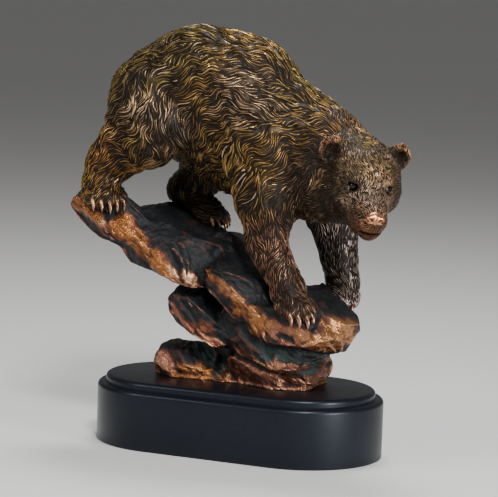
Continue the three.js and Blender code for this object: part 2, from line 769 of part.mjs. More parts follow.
// The bear and its rock, cast as one and cut off flat where they meet the plinth
function casting() {
  const clay = new Clay(BLOCK_LOW, BLOCK_HIGH, GRID_STEP);
  body(clay);
  skull(clay);
  comb(clay);
  for (const paw of PAWS) pawClay(clay, paw);
  face(clay);
  for (const stone of STONES) clay.stone(stone, 2);
  clay.trimBelow(PLINTH_TOP - 2 * GRID_STEP);
  let whole = solid(simplify(clay.surface(), CASTING_TRIANGLES));
  for (const paw of PAWS) {
    for (const toe of toes(paw)) whole = whole.add(claw(toe, paw.height / 8.5));
  }
  const reach = 400;
  const below = new THREE.BoxGeometry(reach, reach, reach);
  below.translate(0, 0, PLINTH_TOP - reach / 2);
  whole = whole.subtract(solidOf(below));
  const pieces = whole.decompose();
  return pieces.reduce((a, b) => (a.volume() > b.volume() ? a : b));
}

function geometryOf(whole) {
  const mesh = whole.getMesh();
  const geometry = new THREE.BufferGeometry();
  geometry.setAttribute("position", new THREE.BufferAttribute(mesh.vertProperties, 3));
  geometry.setIndex(new THREE.BufferAttribute(mesh.triVerts, 1));
  geometry.computeVertexNormals();
  return geometry;
}

// Side view of the plinth's end, from the middle of its underside to the middle of its top
function plinthProfile() {
  const radius = PLINTH_WIDTH / 2;
  const path = new THREE.Path();
  path.moveTo(0, 0);
  path.lineTo(radius - FOOT_ROUND, 0);
  path.lineTo(radius, FOOT_ROUND);
  path.lineTo(radius, BODY_HEIGHT - SHOULDER_ROUND);
  const shoulder = radius - SHOULDER_ROUND;
  path.absarc(shoulder, BODY_HEIGHT - SHOULDER_ROUND, SHOULDER_ROUND, 0, Math.PI / 2, false);
  path.lineTo(radius - TIER_INSET, BODY_HEIGHT);
  path.lineTo(radius - TIER_INSET, PLINTH_TOP - TIER_ROUND);
  const tier = radius - TIER_INSET - TIER_ROUND;
  path.absarc(tier, PLINTH_TOP - TIER_ROUND, TIER_ROUND, 0, Math.PI / 2, false);
  path.lineTo(0, PLINTH_TOP);
  return path.getPoints(2);
}

// The plinth: its end profile turned round, then drawn out along X between the two ends
function plinth() {
  const turned = new THREE.LatheGeometry(plinthProfile(), END_SIDES, Math.PI / END_SIDES);
  turned.rotateX(Math.PI / 2);
  const place = turned.getAttribute("position");
  const straight = (PLINTH_LENGTH - PLINTH_WIDTH) / 2;
  const widen = 1 / Math.cos(Math.PI / END_SIDES);
  for (let i = 0; i < place.count; i++) {
    const x = place.getX(i);
    if (Math.abs(x) > 1e-6) place.setX(i, x + Math.sign(x) * straight);
    place.setY(i, place.getY(i) * widen);
  }
  return turned;
}

// Finish

const patina = new THREE.MeshStandardMaterial({ color: 0x4a3524, roughness: 0.4, metalness: 0.8 });
const blackPaint = new THREE.MeshStandardMaterial({ color: 0x0c0d10, roughness: 0.3, metalness: 0 });

function named(name, geometry, material) {
  const mesh = new THREE.Mesh(geometry, material);
  mesh.name = name;
  return mesh;
}

const sculpture = new THREE.Group();
sculpture.add(named("bear_on_rock", geometryOf(casting()), patina));
sculpture.add(named("plinth", plinth(), blackPaint));

export default sculpture;
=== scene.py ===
# Looks of the bear walking down a ledge: a bronze patina casting on a black moulded plinth.
# The clay is modelled in millimetres, in the part's own frame, and put out in metres.

import math
from itertools import product

import bpy
import numpy as np
from mathutils import Matrix, Vector


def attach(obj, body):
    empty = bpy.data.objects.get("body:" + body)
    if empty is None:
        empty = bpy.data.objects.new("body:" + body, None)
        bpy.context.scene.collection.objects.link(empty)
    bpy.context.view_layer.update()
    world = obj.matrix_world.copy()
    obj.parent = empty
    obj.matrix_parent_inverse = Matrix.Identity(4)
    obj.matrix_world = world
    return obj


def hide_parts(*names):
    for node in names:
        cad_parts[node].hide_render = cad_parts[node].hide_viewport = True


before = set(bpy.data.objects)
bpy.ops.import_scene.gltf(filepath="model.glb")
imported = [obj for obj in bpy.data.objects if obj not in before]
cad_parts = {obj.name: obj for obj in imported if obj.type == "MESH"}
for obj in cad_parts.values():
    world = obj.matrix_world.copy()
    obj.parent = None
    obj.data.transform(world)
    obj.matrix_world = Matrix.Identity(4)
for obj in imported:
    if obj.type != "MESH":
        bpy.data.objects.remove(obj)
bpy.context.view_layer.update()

MM = 0.001
FAR_AWAY = 1e9
RNG = np.random.default_rng(41)

# Plinth: an oblong with half-round ends, in two tiers
PLINTH_LENGTH = 210
PLINTH_WIDTH = 115
BODY_HEIGHT = 41.4
TIER_HEIGHT = 5.7
TIER_INSET = 5.8
SHOULDER_ROUND = 3.2
TIER_ROUND = 3.0
FOOT_ROUND = 1.2
PLINTH_SIDES = 96
SHARP_ANGLE = 35
PLINTH_TOP = BODY_HEIGHT + TIER_HEIGHT

# Clay blocks: lowest corner, highest corner and grid step of the bear, its head and the rock
BEAR_BLOCK = ([-122, -66, 96], [132, 60, 304], 0.9)
HEAD_BLOCK = ([56, -86, 144], [152, 12, 240], 0.6)
ROCK_BLOCK = ([-132, -72, 42], [112, 60, 182], 1.15)
FAR_OUTSIDE = 25.0
SKIN_TRIANGLES = 90000
HEAD_TRIANGLES = 80000

# Ball that parts the head's fine mesh from the body's, and how far the two run into each other
HEAD_BALL = (104, -37, 192)
HEAD_BALL_RADIUS = 47
HEAD_LAP = 3

# Joints of the bear's body
AT = {
    "rump": (-64.5, 0, 243), "loin": (-37, 0, 246.5), "ribs": (-9, 0, 242), "hump": (41, 1, 226.5),
    "withers": (30, -1, 214.5), "neck": (58, -5, 205), "nape": (84, -17, 198),
    "groin": (-34, 0, 226), "belly": (-6, 0, 214), "brisket": (36, -2, 204),
    "throat": (60, -14, 190), "jowl": (78, -26, 186),
    "tailRoot": (-95, 2, 248), "tailTip": (-101, 2, 240),
    "nearHip": (-62, -18, 240), "nearThigh": (-53, -32, 226), "nearSeat": (-68, -16, 234),
    "nearHam": (-83, -27, 212), "nearKnee": (-60, -34, 215.5), "nearHock": (-91.5, -31, 197),
    "nearHeel": (-97, -35, 182),
    "farHip": (-54, 20, 238), "farThigh": (-37, 30, 206), "farKnee": (-38, 30, 200),
    "farShank": (-48, 29, 187), "farHeel": (-60, 28, 177),
    "nearShoulder": (20, -18, 214), "nearElbow": (29, -28, 180),
    "nearForearm": (32, -33, 148), "nearWrist": (50.5, -36, 121),
    "farShoulder": (43, 20, 206), "farElbow": (56, 25, 168), "farWrist": (66, 22, 124),
    "farElbowBack": (50, 26, 180), "farElbowTip": (58, 25, 160),
}

# Muscles: from, to, radius at each end, flatness side to side, softness of the join
MUSCLES = [
    ("rump", "loin", 36.5, 46, 0.84, 8),
    ("loin", "ribs", 46, 45.5, 0.84, 8),
    ("ribs", "withers", 45.5, 37, 0.86, 8),
    ("hump", "neck", 28, 34, 0.9, 8),
    ("withers", "neck", 37, 36, 0.86, 8),
    ("neck", "nape", 36, 27, 0.95, 8),
    ("groin", "belly", 30, 31.5, 0.9, 8),
    ("belly", "brisket", 31.5, 34, 0.95, 8),
    ("throat", "jowl", 24, 20, 1, 8),
    ("tailRoot", "tailTip", 8, 5, 1, 4),
    ("nearHip", "nearThigh", 34, 21, 0.9, 8),
    ("nearSeat", "nearHam", 26.5, 17, 1, 8),
    ("nearThigh", "nearKnee", 20, 18, 1, 7),
    ("nearKnee", "nearHock", 17, 14, 1, 6),
    ("nearHock", "nearHeel", 15, 12.5, 1, 5),
    ("farHip", "farThigh", 30, 23, 0.9, 8),
    ("farKnee", "farShank", 20, 14, 1, 6),
    ("farShank", "farHeel", 14, 11, 1, 6),
    ("nearShoulder", "nearElbow", 31.5, 20.5, 1, 9),
    ("nearElbow", "nearForearm", 20, 13, 1, 6),
    ("nearForearm", "nearWrist", 13, 11.2, 1, 5),
    ("farShoulder", "farElbow", 29, 18, 1, 9),
    ("farElbow", "farWrist", 17.5, 11.5, 1, 6),
    ("farElbowBack", "farElbowTip", 15, 10, 1, 6),
]

# Creases between the muscles: from, to, half width and softness
CREASES = [
    ((-43, -46, 252), (-35, -49, 228), 4.6, 6),
    ((-35, -49, 228), (-38, -43, 208), 4.6, 6),
]

# Paws: heel, ball, way they point, slope, width and height; where the toes stand across a paw,
# and the height of a paw whose claws have their full size
PAWS = {
    "near_hind": dict(
        heel=(-95, -35, 180), ball=(-87, -44, 174), turn=-45, slope=20, width=14, height=8.5),
    "far_hind": dict(
        heel=(-60, 28, 176), ball=(-34, 22, 160), turn=-14, slope=24, width=12, height=8),
    "near_fore": dict(
        heel=(50, -37, 117), ball=(61, -43, 107.5), turn=-27, slope=30, width=15, height=8.5),
    "far_fore": dict(
        heel=(67, 22, 118), ball=(68, 11, 109), turn=-74, slope=30, width=13, height=8.5),
}
TOES = (-1, -0.5, 0, 0.5, 1)
CLAW_SCALE_HEIGHT = 8.5

# Head: middle of the skull, and how it is turned toward the near side, dipped and tilted
HEAD_MIDDLE = np.array((96.5, -27, 198.5))
HEAD_TURN = (-56, 17, 5.5)

# Hollow of an ear, an eye and the nose: forward, out and up from the head's middle, and sizes
EAR_HOLLOW = (-0.9, 23.2, 15.2)
EAR_HOLLOW_SIZE = (4.2, 5.7, 6.4)
EYE = (23, 10.7, 2.6)
EYE_RADIUS = 3.2
NOSE = (51, 0, -7.7)

# Claw: forward, up and half thickness along it
CLAW_LINE = np.array([
    (0.5, -1.2, 1.7), (4.5, 0.6, 2.1), (8.2, -0.6, 1.75), (10.6, -2.9, 1.15), (11.9, -6.0, 0.12),
])
CLAW_STATIONS = 14
CLAW_SIDES = 12
CLAW_SQUASH = 0.85

# Stones: centre, half sizes (along, across, up), tilt down toward +X, turn, lean to the
# near side, number of faces, and the number that sets how they fall
STONES = [
    ((-87.5, -25, 158.5), (38, 25, 11.5), 30, 4, 2, 30, 1),
    ((-46, -6, 142), (49, 43, 12), 26, 0, -15, 34, 2),
    ((2, 6, 121), (44, 40, 12.2), 34, 0, -12, 34, 12),
    ((18, -14, 116), (40, 36, 13), 34, 0, -14, 34, 3),
    ((52, -12, 96.5), (41, 42, 14), 13, -4, -3, 34, 4),
    ((-18, -6, 93), (34, 32, 12.5), 34, 0, -6, 30, 5),
    ((28, -4, 80), (44, 34, 14), 22, 0, -4, 32, 6),
    ((28, 4, 63), (38, 30, 13), 12, 0, -4, 32, 16),
    ((27, 8, 52), (36, 27, 11), 2, 0, -2, 30, 7),
    ((-38, 7, 55), (29, 26, 14), 6, 0, -4, 28, 8),
    ((-2, 11, 50), (44, 23, 12), 0, 0, 0, 28, 9),
]

# All stones: how much of a stone is knocked off its faces at most, how boxy it is, how soft its
# edges and its joins with the others are, and the turn from one face to the next
STONE_KNOCKS = 0.22
STONE_BULGE = 1.3
STONE_EDGE = 1.5
STONE_JOIN = 1.2
GOLDEN_ANGLE = 2.399963

# Chips struck off the stones: how far apart they lie, the number that sets them and their
# depth; and the depth at which the surface stays where it was
CHIPS = [(12, 3, 2.9), (5.2, 4, 1.5)]
CHIP_LEVEL = 0.5

# Layers of the rock: how steeply they run down, the room between them and how deep they step
LAYER_DIP = 39
LAYER_LEAN = -8
LAYER_ROOM = 7.5
LAYER_DEPTH = 1.2

# Locks of fur under the strands: a body lock's length, half width and height, the room
# between roots, how deep its foot is sunk, as a share of its height, and its stations
LOCK_LENGTH = 19
LOCK_WIDTH = 3.4
LOCK_HEIGHT = 2.6
LOCK_SPACING = 7.2
LOCK_SINK = 0.5
LOCK_STATIONS = 8

# Strands: room between them, length, half thickness, the most and fewest stations, the number
# of places tried, the shortest fur that has any, the step of the grid they are parted on, the
# grades of room between them, and the share of it that two may leave between them further on
STRAND_SPACING = 1.24
STRAND_LENGTH = 17
STRAND_RADIUS = 0.64
STRAND_STATIONS = 13
FEWEST_STATIONS = 4
SEEDS = 50000
SHORTEST_FUR = 0.03
STRAND_CELL = 0.45
STRAND_GRADES = np.array([0.5, 0.7, 1.0, 1.4, 2.0]) * STRAND_SPACING
TIGHT = 0.62

# Pieces the body's strands are parted into: from and to along the body, in millimetres
FUR_REGIONS = {
    "fur_rump": (-FAR_AWAY, -52), "fur_flank": (-52, -8), "fur_shoulder": (-8, 36),
    "fur_neck": (36, FAR_AWAY),
}

# Waves in the fur: how far they turn it in radians, which way they run, how long they are, and
# the size of the lumps that bend them
WAVE_TURN = 0.6
WAVE_WAY = (-0.85, -0.1, -0.5)
WAVE_LENGTH = 19
WAVE_LUMPS = 15

# Tufts of thicker and paler strands, how far each reaches, and how much thicker they get
# the tufts' paler strands are partly painted highlight, where raised locks catch the light
TUFTS = [
    ((-50, -38, 248), 10), ((-56, -45, 228), 10), ((-42, -40, 262), 9), ((-9, -38, 270), 10),
    ((19, -42, 256), 9), ((46, -28, 250), 13), ((58, -34, 238), 10), ((52, -44, 226), 9),
    ((30, -45, 234), 8), ((-66, -44, 240), 8), ((10, -44, 218), 7), ((22, -50, 200), 7),
]
TUFT_GROWTH = 0.7

# Metal colours of the patina; some also stand for painted shade and painted highlight, as noted
# below
TINTS = {
    "olive": (0.29, 0.21, 0.058),
    "gold": (0.41, 0.245, 0.068),
    "amber": (0.55, 0.25, 0.07),
    "umber": (0.26, 0.16, 0.08),
    "copper": (0.40, 0.19, 0.12),
    "rose": (0.56, 0.38, 0.24),
    # very pale; partly painted highlight where light falls on the far foreleg
    "silver_and_highlight": (0.95, 0.78, 0.74),
    # near black; also painted shade where marks lay it on the far side, under the body and in a
    # crease
    "slate_and_shade": (0.07, 0.075, 0.075),
    "rust": (0.25, 0.09, 0.05),
    "russet": (0.28, 0.125, 0.078),
    "ochre": (0.24, 0.092, 0.030),
    "honey": (0.40, 0.185, 0.075),
    "sand": (0.54, 0.38, 0.21),
    "blush": (0.86, 0.60, 0.45),
    "ember": (0.56, 0.25, 0.13),
    # pale; partly painted highlight on lit facets of the rock's lips
    "cream_and_highlight": (0.50, 0.30, 0.17),
}

# Lips of bare metal along the stones on the near side: tint, half width and the line they follow
LIPS = [
    ("ochre", 4, [(-111, -45, 166), (-101, -48, 162), (-92, -49, 157)]),
    ("ochre", 5.5, [(-75, -47, 156), (-67, -47, 148), (-61, -44, 140), (-51, -44, 134)]),
    ("ochre", 4, [(-51, -45, 131), (-43, -44, 127), (-35, -44, 123)]),
    # partly painted highlight: a pale lip along a lit facet
    ("cream_and_highlight", 3.2, [(-34, -43, 127), (-27, -43, 124), (-20, -39, 119)]),
    ("russet", 2.6, [(-38, -42, 119), (-27, -41, 116), (-18, -35, 115)]),
    ("rust", 2.2, [(-94, -46, 151), (-83, -47, 144), (-78, -34, 135)]),
    # partly painted highlight: a short pale lip along a lit edge
    ("cream_and_highlight", 1.8, [(-88, -48, 157), (-83, -48, 158)]),
    ("ochre", 3.4, [(-10, -43, 128), (-5, -43, 121), (1, -44, 117)]),
    ("honey", 3.2, [(-2, -44, 122), (8, -46, 116), (18, -47, 109), (27, -47, 103), (36, -47, 98)]),
    ("ochre", 4.5, [(15, -45, 105), (23, -46, 100), (32, -46, 95), (39, -47, 95)]),
    ("russet", 3, [(40, -47, 95), (53, -48, 93), (65, -49, 91)]),
    ("russet", 2.6, [(37, -47, 91), (47, -48, 87), (59, -49, 85), (73, -49, 82)]),
    # partly painted highlight: the honey lips at the right end are painted brighter where light
    # from the right falls
    ("honey", 3, [(62, -49, 91), (74, -50, 88), (83, -43, 88)]),
    ("honey", 7.5, [(85, -32, 95), (89, -26, 89), (90, -19, 92)]),
    ("honey", 5, [(77, -46, 84), (80, -28, 79), (87, -21, 83)]),
    ("russet", 4.5, [(8, -24, 61), (21, -27, 58), (39, -34, 61)]),
    ("russet", 4, [(-8, -13, 53), (4, -15, 51), (19, -20, 49)]),
    ("russet", 4, [(-16, -34, 83), (-7, -31, 73), (-3, -20, 63)]),
    ("russet", 2.5, [(43, -36, 69), (54, -34, 65), (60, -17, 62)]),
    ("rust", 2.4, [(57, -46, 81), (65, -37, 79), (75, -25, 76)]),
    ("rust", 2.4, [(-41, -30, 97), (-32, -35, 89), (-22, -34, 85)]),
    ("honey", 1.3, [(3, -42, 107), (11, -42, 100), (21, -43, 93), (31, -41, 83)]),
    ("honey", 1, [(-10, -39, 115), (-3, -40, 110), (3, -41, 106)]),
    ("rust", 4.2, [(-14, -34, 85), (-10, -33, 75), (-3, -29, 72)]),
    ("russet", 3.8, [(0, -25, 72), (13, -31, 69), (23, -32, 66)]),
    ("honey", 2.4, [(31, -33, 64), (43, -36, 61), (47, -26, 57)]),
    ("russet", 4.5, [(19, -24, 54), (35, -26, 54), (49, -22, 53), (61, -13, 55), (63, 5, 51)]),
    ("russet", 3.4, [(63, 3, 63), (64, 13, 53)]),
    ("russet", 4, [(-63, -11, 51), (-57, -15, 58), (-50, -17, 56)]),
    ("ochre", 4.5, [(-39, -20, 52), (-28, -19, 52), (-17, -16, 51), (-3, -15, 50)]),
    ("honey", 2.2, [(-35, -20, 55), (-23, -18, 55)]),
]

# Patches of verdigris low down: half width and the line they follow
VERDIGRIS = [
    (4, [(-20, -10, 63), (-13, -11, 59), (-9, -12, 55)]),
    (6, [(28, -37, 71), (41, -36, 68), (55, -33, 65), (60, -11, 61)]),
]

# Way the fur lies: a place, the direction there, how long the fur is, and its tint; and how
# softly one place blends into the next
COAT_BLEND = 40
COAT = [
    ((-80, 0, 272), (-0.8, 0, -0.5), 0.8, "olive"),
    ((-100, 0, 235), (-0.2, 0, -1), 0.9, "olive"),
    ((-85, -30, 250), (-0.8, 0, -0.8), 0.9, "olive"),
    ((-30, 0, 295), (-1, 0, -0.1), 0.8, "olive"),
    ((10, 0, 285), (-1, 0, 0.3), 0.8, "gold"),
    ((-45, -40, 262), (-0.9, 0, -0.5), 0.9, "olive"),
    ((-58, -52, 238), (-0.35, 0, -1), 1, "rose"),
    ((-40, 40, 250), (-0.8, 0, -0.7), 1, "olive"),
    ((-60, -52, 218), (-0.5, 0, -1), 1, "gold"),
    # painted shade: near-black on the far hind leg, which the body shades
    ((-60, 40, 205), (-0.5, 0, -0.9), 1, "slate_and_shade"),
    ((-84, -48, 205), (-0.9, 0, -0.35), 0.8, "amber"),
    ((-100, -35, 188), (0.05, -0.1, -1), 0.45, "gold"),
    ((-20, -44, 250), (-1, 0, -0.25), 1, "gold"),
    ((-5, -42, 225), (-1, 0, -0.25), 1, "gold"),
    ((-48, -49, 238), (0.1, 0, -1), 1, "rose"),
    # painted shade: near-black in the crease between the near thigh and the flank
    ((-36, -46, 230), (-0.2, 0, -1), 1, "slate_and_shade"),
    ((-28, -45, 218), (-0.5, 0, -1), 1, "umber"),
    ((-10, -36, 200), (-0.6, 0, -0.9), 1, "gold"),
    # painted shade: near-black on the far flank and under the belly
    ((0, 42, 215), (-0.6, 0, -0.9), 1, "slate_and_shade"),
    ((0, 0, 170), (-1, 0, -0.4), 1, "slate_and_shade"),
    ((15, -42, 248), (-1, 0, -0.15), 1, "rose"),
    ((45, 0, 252), (-1, 0, 0.5), 0.9, "olive"),
    ((28, -50, 215), (-0.7, 0, -0.75), 1, "gold"),
    ((28, -50, 190), (-0.3, 0, -1), 1, "gold"),
    # painted shade: near-black on the far shoulder
    ((50, 50, 190), (-0.2, 0, -1), 1, "slate_and_shade"),
    ((36, -48, 155), (0.15, 0, -1), 0.5, "copper"),
    ((56, -50, 122), (0.35, -0.1, -1), 0.35, "copper"),
    # painted shade: near-black on the back of the far foreleg
    ((62, 30, 150), (0.2, 0, -1), 0.5, "slate_and_shade"),
    # partly painted highlight: very pale tint and short fur on the far foreleg's front, where the
    # light falls
    ((76, 10, 150), (0.25, 0, -1), 0.24, "silver_and_highlight"),
    ((80, 6, 122), (0.35, -0.3, -1), 0.22, "silver_and_highlight"),
    ((70, -45, 195), (-0.7, 0.2, -0.8), 1, "umber"),
    ((62, -30, 225), (-0.9, 0.2, -0.2), 1, "gold"),
    ((85, 10, 220), (-0.8, 0.5, -0.1), 0.8, "olive"),
    # painted shade: near-black under the head
    ((90, 5, 180), (-0.7, 0.2, -0.8), 0.8, "slate_and_shade"),
]


def pair(place, lie, length, tint):
    """The same mark on the left and on the right side of the head."""
    (f, l, u), (a, b, c) = place, lie
    return [((f, side * l, u), (a, side * b, c), length, tint) for side in (1, -1)]


# The same on the head, in its own frame: forward, left and up from its middle
HEAD_COAT = [
    ((48, 0, -2), (-1, 0, 0.1), 0.08, "blush"),
    ((51, 0, -14), (-1, 0, -0.2), 0.12, "ember"),
    *pair((46, 8, -14), (-1, 0.2, -0.1), 0.14, "ember"),
    *pair((36, 12, -6), (-1, 0.3, 0.1), 0.12, "blush"),
    ((38, 0, 3), (-1, 0, 0.3), 0.12, "blush"),
    ((28, 0, 9), (-1, 0, 0.4), 0.15, "sand"),
    ((44, 0, -25), (-1, 0, -0.2), 0.14, "rust"),
    ((34, 0, -26), (-1, 0, -0.2), 0.14, "umber"),
    ((20, 0, 20), (-1, 0, 0.6), 0.22, "sand"),
    *pair((21, 12, 12), (-1, 0.6, 0.5), 0.16, "sand"),
    ((26, 8.5, 7), (-1, 0.3, 0.5), 0.02, "ember"),
    *pair((27, 11.5, 2.6), (-1, 0.3, 0.2), 0.05, "slate_and_shade"),
    ((0, 0, 25), (-1, 0, 0.1), 0.35, "olive"),
    *pair((12, 24, -4), (-0.8, 0.2, -0.6), 0.3, "umber"),
    # painted shade: near-black low on the far side of the head
    ((-6, 30, -8), (-0.5, 0.2, -1), 0.75, "slate_and_shade"),
    ((-6, -30, -8), (-0.5, -0.2, -1), 0.8, "umber"),
    # painted shade: near-black under the jaw
    ((8, 0, -28), (-0.9, 0, -0.6), 0.6, "slate_and_shade"),
    *pair((-2, 23, 13), (-0.4, 0.3, 0.9), 0.15, "slate_and_shade"),
    *pair((-5, 23, 25), (-0.4, 0.3, 0.9), 0.15, "ember"),
    *pair((-5, 30, 19), (-0.4, 0.3, 0.9), 0.15, "ember"),
    *pair((-7, 14, 20), (-0.6, 0.3, 0.6), 0.35, "gold"),
]


# Small vector sums

def vec(*values):
    return np.array(values, float)


def unit(a):
    return a / np.maximum(np.linalg.norm(a, axis=-1, keepdims=True), 1e-9)


def smoothstep(low, high, x):
    t = np.clip((x - low) / (high - low), 0, 1)
    return t * t * (3 - 2 * t)


def scatter(n):
    wave = np.sin(n * 78.233) * 43758.5453
    return wave - np.floor(wave)


def facing(turn, dip, roll):
    """Forward, left and up of something turned about Z, dipped down and then rolled."""
    y, p, r = (math.radians(a) for a in (turn, dip, roll))
    forward = vec(math.cos(y) * math.cos(p), math.sin(y) * math.cos(p), -math.sin(p))
    side = vec(-math.sin(y), math.cos(y), 0)
    top = np.cross(forward, side)
    left = side * math.cos(r) - top * math.sin(r)
    up = side * math.sin(r) + top * math.cos(r)
    return np.array([forward, left, up])


def ripple(points, size, seed):
    """Smooth noise from 0 to 1 at each point, with lumps of about the given size."""
    turns = np.random.default_rng(seed)
    total = np.zeros(len(points))
    for _ in range(6):
        way = unit(turns.normal(size=3)) * turns.uniform(0.6, 1.6)
        total += np.sin(points @ way * (2 * math.pi / (size * 2.2)) + turns.uniform(0, 6.28))
    return np.clip(0.5 + total / 7, 0, 1)


# Clay

class Clay:
    """A block of clay: the distance to its surface, under zero inside, on a grid of points."""

    def __init__(self, low, high, step):
        self.low = np.array(low, float)
        self.step = step
        self.count = np.ceil((np.array(high) - self.low) / step).astype(int) + 1
        self.depth = np.full(self.count, FAR_OUTSIDE, np.float32)

    def part(self, low, high):
        """The part of the block inside a box, and its grid's coordinates."""
        first = np.clip(np.floor((low - self.low) / self.step).astype(int), 0, self.count)
        last = np.clip(np.ceil((high - self.low) / self.step).astype(int) + 1, 0, self.count)
        where = tuple(slice(a, b) for a, b in zip(first, last))
        lines = [
            (self.low[i] + self.step * np.arange(first[i], last[i])).astype(np.float32)
            for i in range(3)
        ]
        return where, np.meshgrid(*lines, indexing="ij", sparse=True)

    def put(self, low, high, distance, soft, cut=False):
        """Joins a shape on, or cuts it away, with a fillet of the given softness."""
        margin = soft + 3 * self.step
        where, grid = self.part(np.array(low) - margin, np.array(high) + margin)
        if min(s.stop - s.start for s in where) < 1:
            return
        old = self.depth[where]
        fresh = distance(*grid)
        if cut:
            fresh = -fresh
        fillet = np.maximum(soft - np.abs(old - fresh), 0) ** 2 / (4 * soft)
        if cut:
            self.depth[where] = np.maximum(old, fresh) + fillet
        else:
            self.depth[where] = np.minimum(old, fresh) - fillet

    def limb(self, a, b, radius_a, radius_b, soft, flat=1.0, cut=False):
        """A tapering limb between two points, which can be flatter from side to side."""
        a, b = np.array(a, float), np.array(b, float)
        along = b - a
        long = max(along @ along, 1e-9)
        reach = max(radius_a, radius_b)

        def distance(x, y, z):
            px, py, pz = x - a[0], y - a[1], z - a[2]
            t = np.clip((px * along[0] + py * along[1] + pz * along[2]) / long, 0, 1)
            qx = px - t * along[0]
            qy = (py - t * along[1]) / flat
            qz = pz - t * along[2]
            off = np.sqrt(qx * qx + qy * qy + qz * qz)
            return (off - radius_a - (radius_b - radius_a) * t) * flat

        self.put(np.minimum(a, b) - reach, np.maximum(a, b) + reach, distance, soft, cut)

    def egg(self, middle, size, soft, axes, cut=False):
        """An egg with three half sizes along three directions."""
        middle, size = np.array(middle, float), np.array(size, float)

        def distance(x, y, z):
            p = (x - middle[0], y - middle[1], z - middle[2])
            q = [sum(p[k] * axes[i][k] for k in range(3)) / size[i] for i in range(3)]
            length = np.sqrt(sum(v * v for v in q))
            slope = np.sqrt(sum((v / s) ** 2 for v, s in zip(q, size)))
            return length * (length - 1) / np.maximum(slope, 1e-4)

        self.put(middle - size.max(), middle + size.max(), distance, soft, cut)

    def keep_ball(self, middle, radius, outside=False):
        """Keeps only what is inside a ball, or only what is outside it."""
        _, (x, y, z) = self.part(self.low, self.low + self.step * self.count)
        ball = np.sqrt((x - middle[0]) ** 2 + (y - middle[1]) ** 2 + (z - middle[2]) ** 2) - radius
        self.depth = np.maximum(self.depth, -ball if outside else ball).astype(np.float32)

    def read(self, points, grid=None):
        """The distance at any points, between the grid's own points."""
        flat = (self.depth if grid is None else grid).ravel()
        at = np.clip((points - self.low) / self.step, 0, self.count - 1.001)
        first = at.astype(np.int64)
        share = at - first
        rows = (self.count[1] * self.count[2], self.count[2], 1)
        index = first @ np.array(rows)
        total = 0
        for i, j, k in np.ndindex(2, 2, 2):
            weight = 1
            for axis, far in enumerate((i, j, k)):
                weight = weight * (share[..., axis] if far else 1 - share[..., axis])
            total = total + weight * flat[index + i * rows[0] + j * rows[1] + k]
        return total

    def slope(self, points, grid=None):
        """The way the distance grows at any points."""
        reach = self.step
        return np.stack([
            self.read(points + reach * axis, grid) - self.read(points - reach * axis, grid)
            for axis in np.eye(3)
        ], axis=-1) / (2 * reach)

    def settle(self, points, height, grid=None, rounds=3):
        """Moves points to a height above the surface, and gives the way out there."""
        for _ in range(rounds):
            slope = self.slope(points, grid)
            away = height - self.read(points, grid)
            size = np.maximum((slope ** 2).sum(-1), 0.05)
            points = points + slope * np.clip(away / size, -3, 3)[:, None]
        return points, unit(slope)

    def surface(self):
        """The surface as points and four-sided faces, one point in each grid cube it crosses."""
        depth = self.depth
        n = np.array(depth.shape)
        inside = depth < 0
        filled = np.zeros(n - 1, np.int8)
        for i, j, k in np.ndindex(2, 2, 2):
            filled += inside[i:n[0] - 1 + i, j:n[1] - 1 + j, k:n[2] - 1 + k]
        crossed = (filled > 0) & (filled < 8)
        number = np.full(n - 1, -1, np.int32)
        cubes = np.argwhere(crossed)
        number[crossed] = np.arange(len(cubes))
        total = np.zeros((len(cubes), 3))
        hits = np.zeros(len(cubes))
        for corner in np.ndindex(2, 2, 2):
            for axis in range(3):
                if corner[axis]:
                    continue
                other = list(corner)
                other[axis] = 1
                one = depth[tuple((cubes + corner).T)]
                two = depth[tuple((cubes + other).T)]
                cuts = (one < 0) != (two < 0)
                place = np.repeat(np.array(corner, float)[None], len(cubes), 0)
                place[:, axis] += np.where(cuts, one / np.where(cuts, one - two, 1), 0)
                total += np.where(cuts[:, None], place, 0)
                hits += cuts
        points = (total / hits[:, None] + cubes) * self.step + self.low
        faces = []
        for axis in range(3):
            u, w = (axis + 1) % 3, (axis + 2) % 3
            one = [slice(1, n[i] - 1) for i in range(3)]
            one[axis] = slice(0, n[axis] - 1)
            two = list(one)
            two[axis] = slice(1, n[axis])
            here = inside[tuple(one)]
            edges = np.argwhere(here != inside[tuple(two)])
            leaving = here[tuple(edges.T)]
            edges[:, u] += 1
            edges[:, w] += 1
            ring = []
            for du, dw in ((1, 1), (0, 1), (0, 0), (1, 0)):
                cube = edges.copy()
                cube[:, u] -= du
                cube[:, w] -= dw
                ring.append(number[tuple(cube.T)])
            ring = np.stack(ring, 1)
            faces.append(np.where(leaving[:, None], ring, ring[:, ::-1]))
        return points, np.concatenate(faces)


# Meshes

def in_scene(name, data):
    """A new object in the scene."""
    obj = bpy.data.objects.new(name, data)
    bpy.context.scene.collection.objects.link(obj)
    return obj


def mesh_of(name, points, faces):
    """A mesh from points in millimetres and faces with the same number of corners each."""
    mesh = bpy.data.meshes.new(name)
    corners = faces.shape[1]
    mesh.vertices.add(len(points))
    mesh.vertices.foreach_set("co", (points * MM).astype(np.float32).ravel())
    mesh.loops.add(faces.size)
    mesh.loops.foreach_set("vertex_index", faces.astype(np.int32).ravel())
    mesh.polygons.add(len(faces))
    mesh.polygons.foreach_set("loop_start", np.arange(0, faces.size, corners, dtype=np.int32))
    mesh.update(calc_edges=True)
    mesh.validate()
    return mesh


def piece(mesh, material, node="bear_on_rock"):
    """A piece of the casting or plinth, which rides on the part and stands for a node."""
    obj = in_scene(mesh.name, mesh)
    mesh.materials.append(material)
    mesh.polygons.foreach_set("use_smooth", np.ones(len(mesh.polygons), bool))
    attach(obj, "root")
    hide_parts(node)


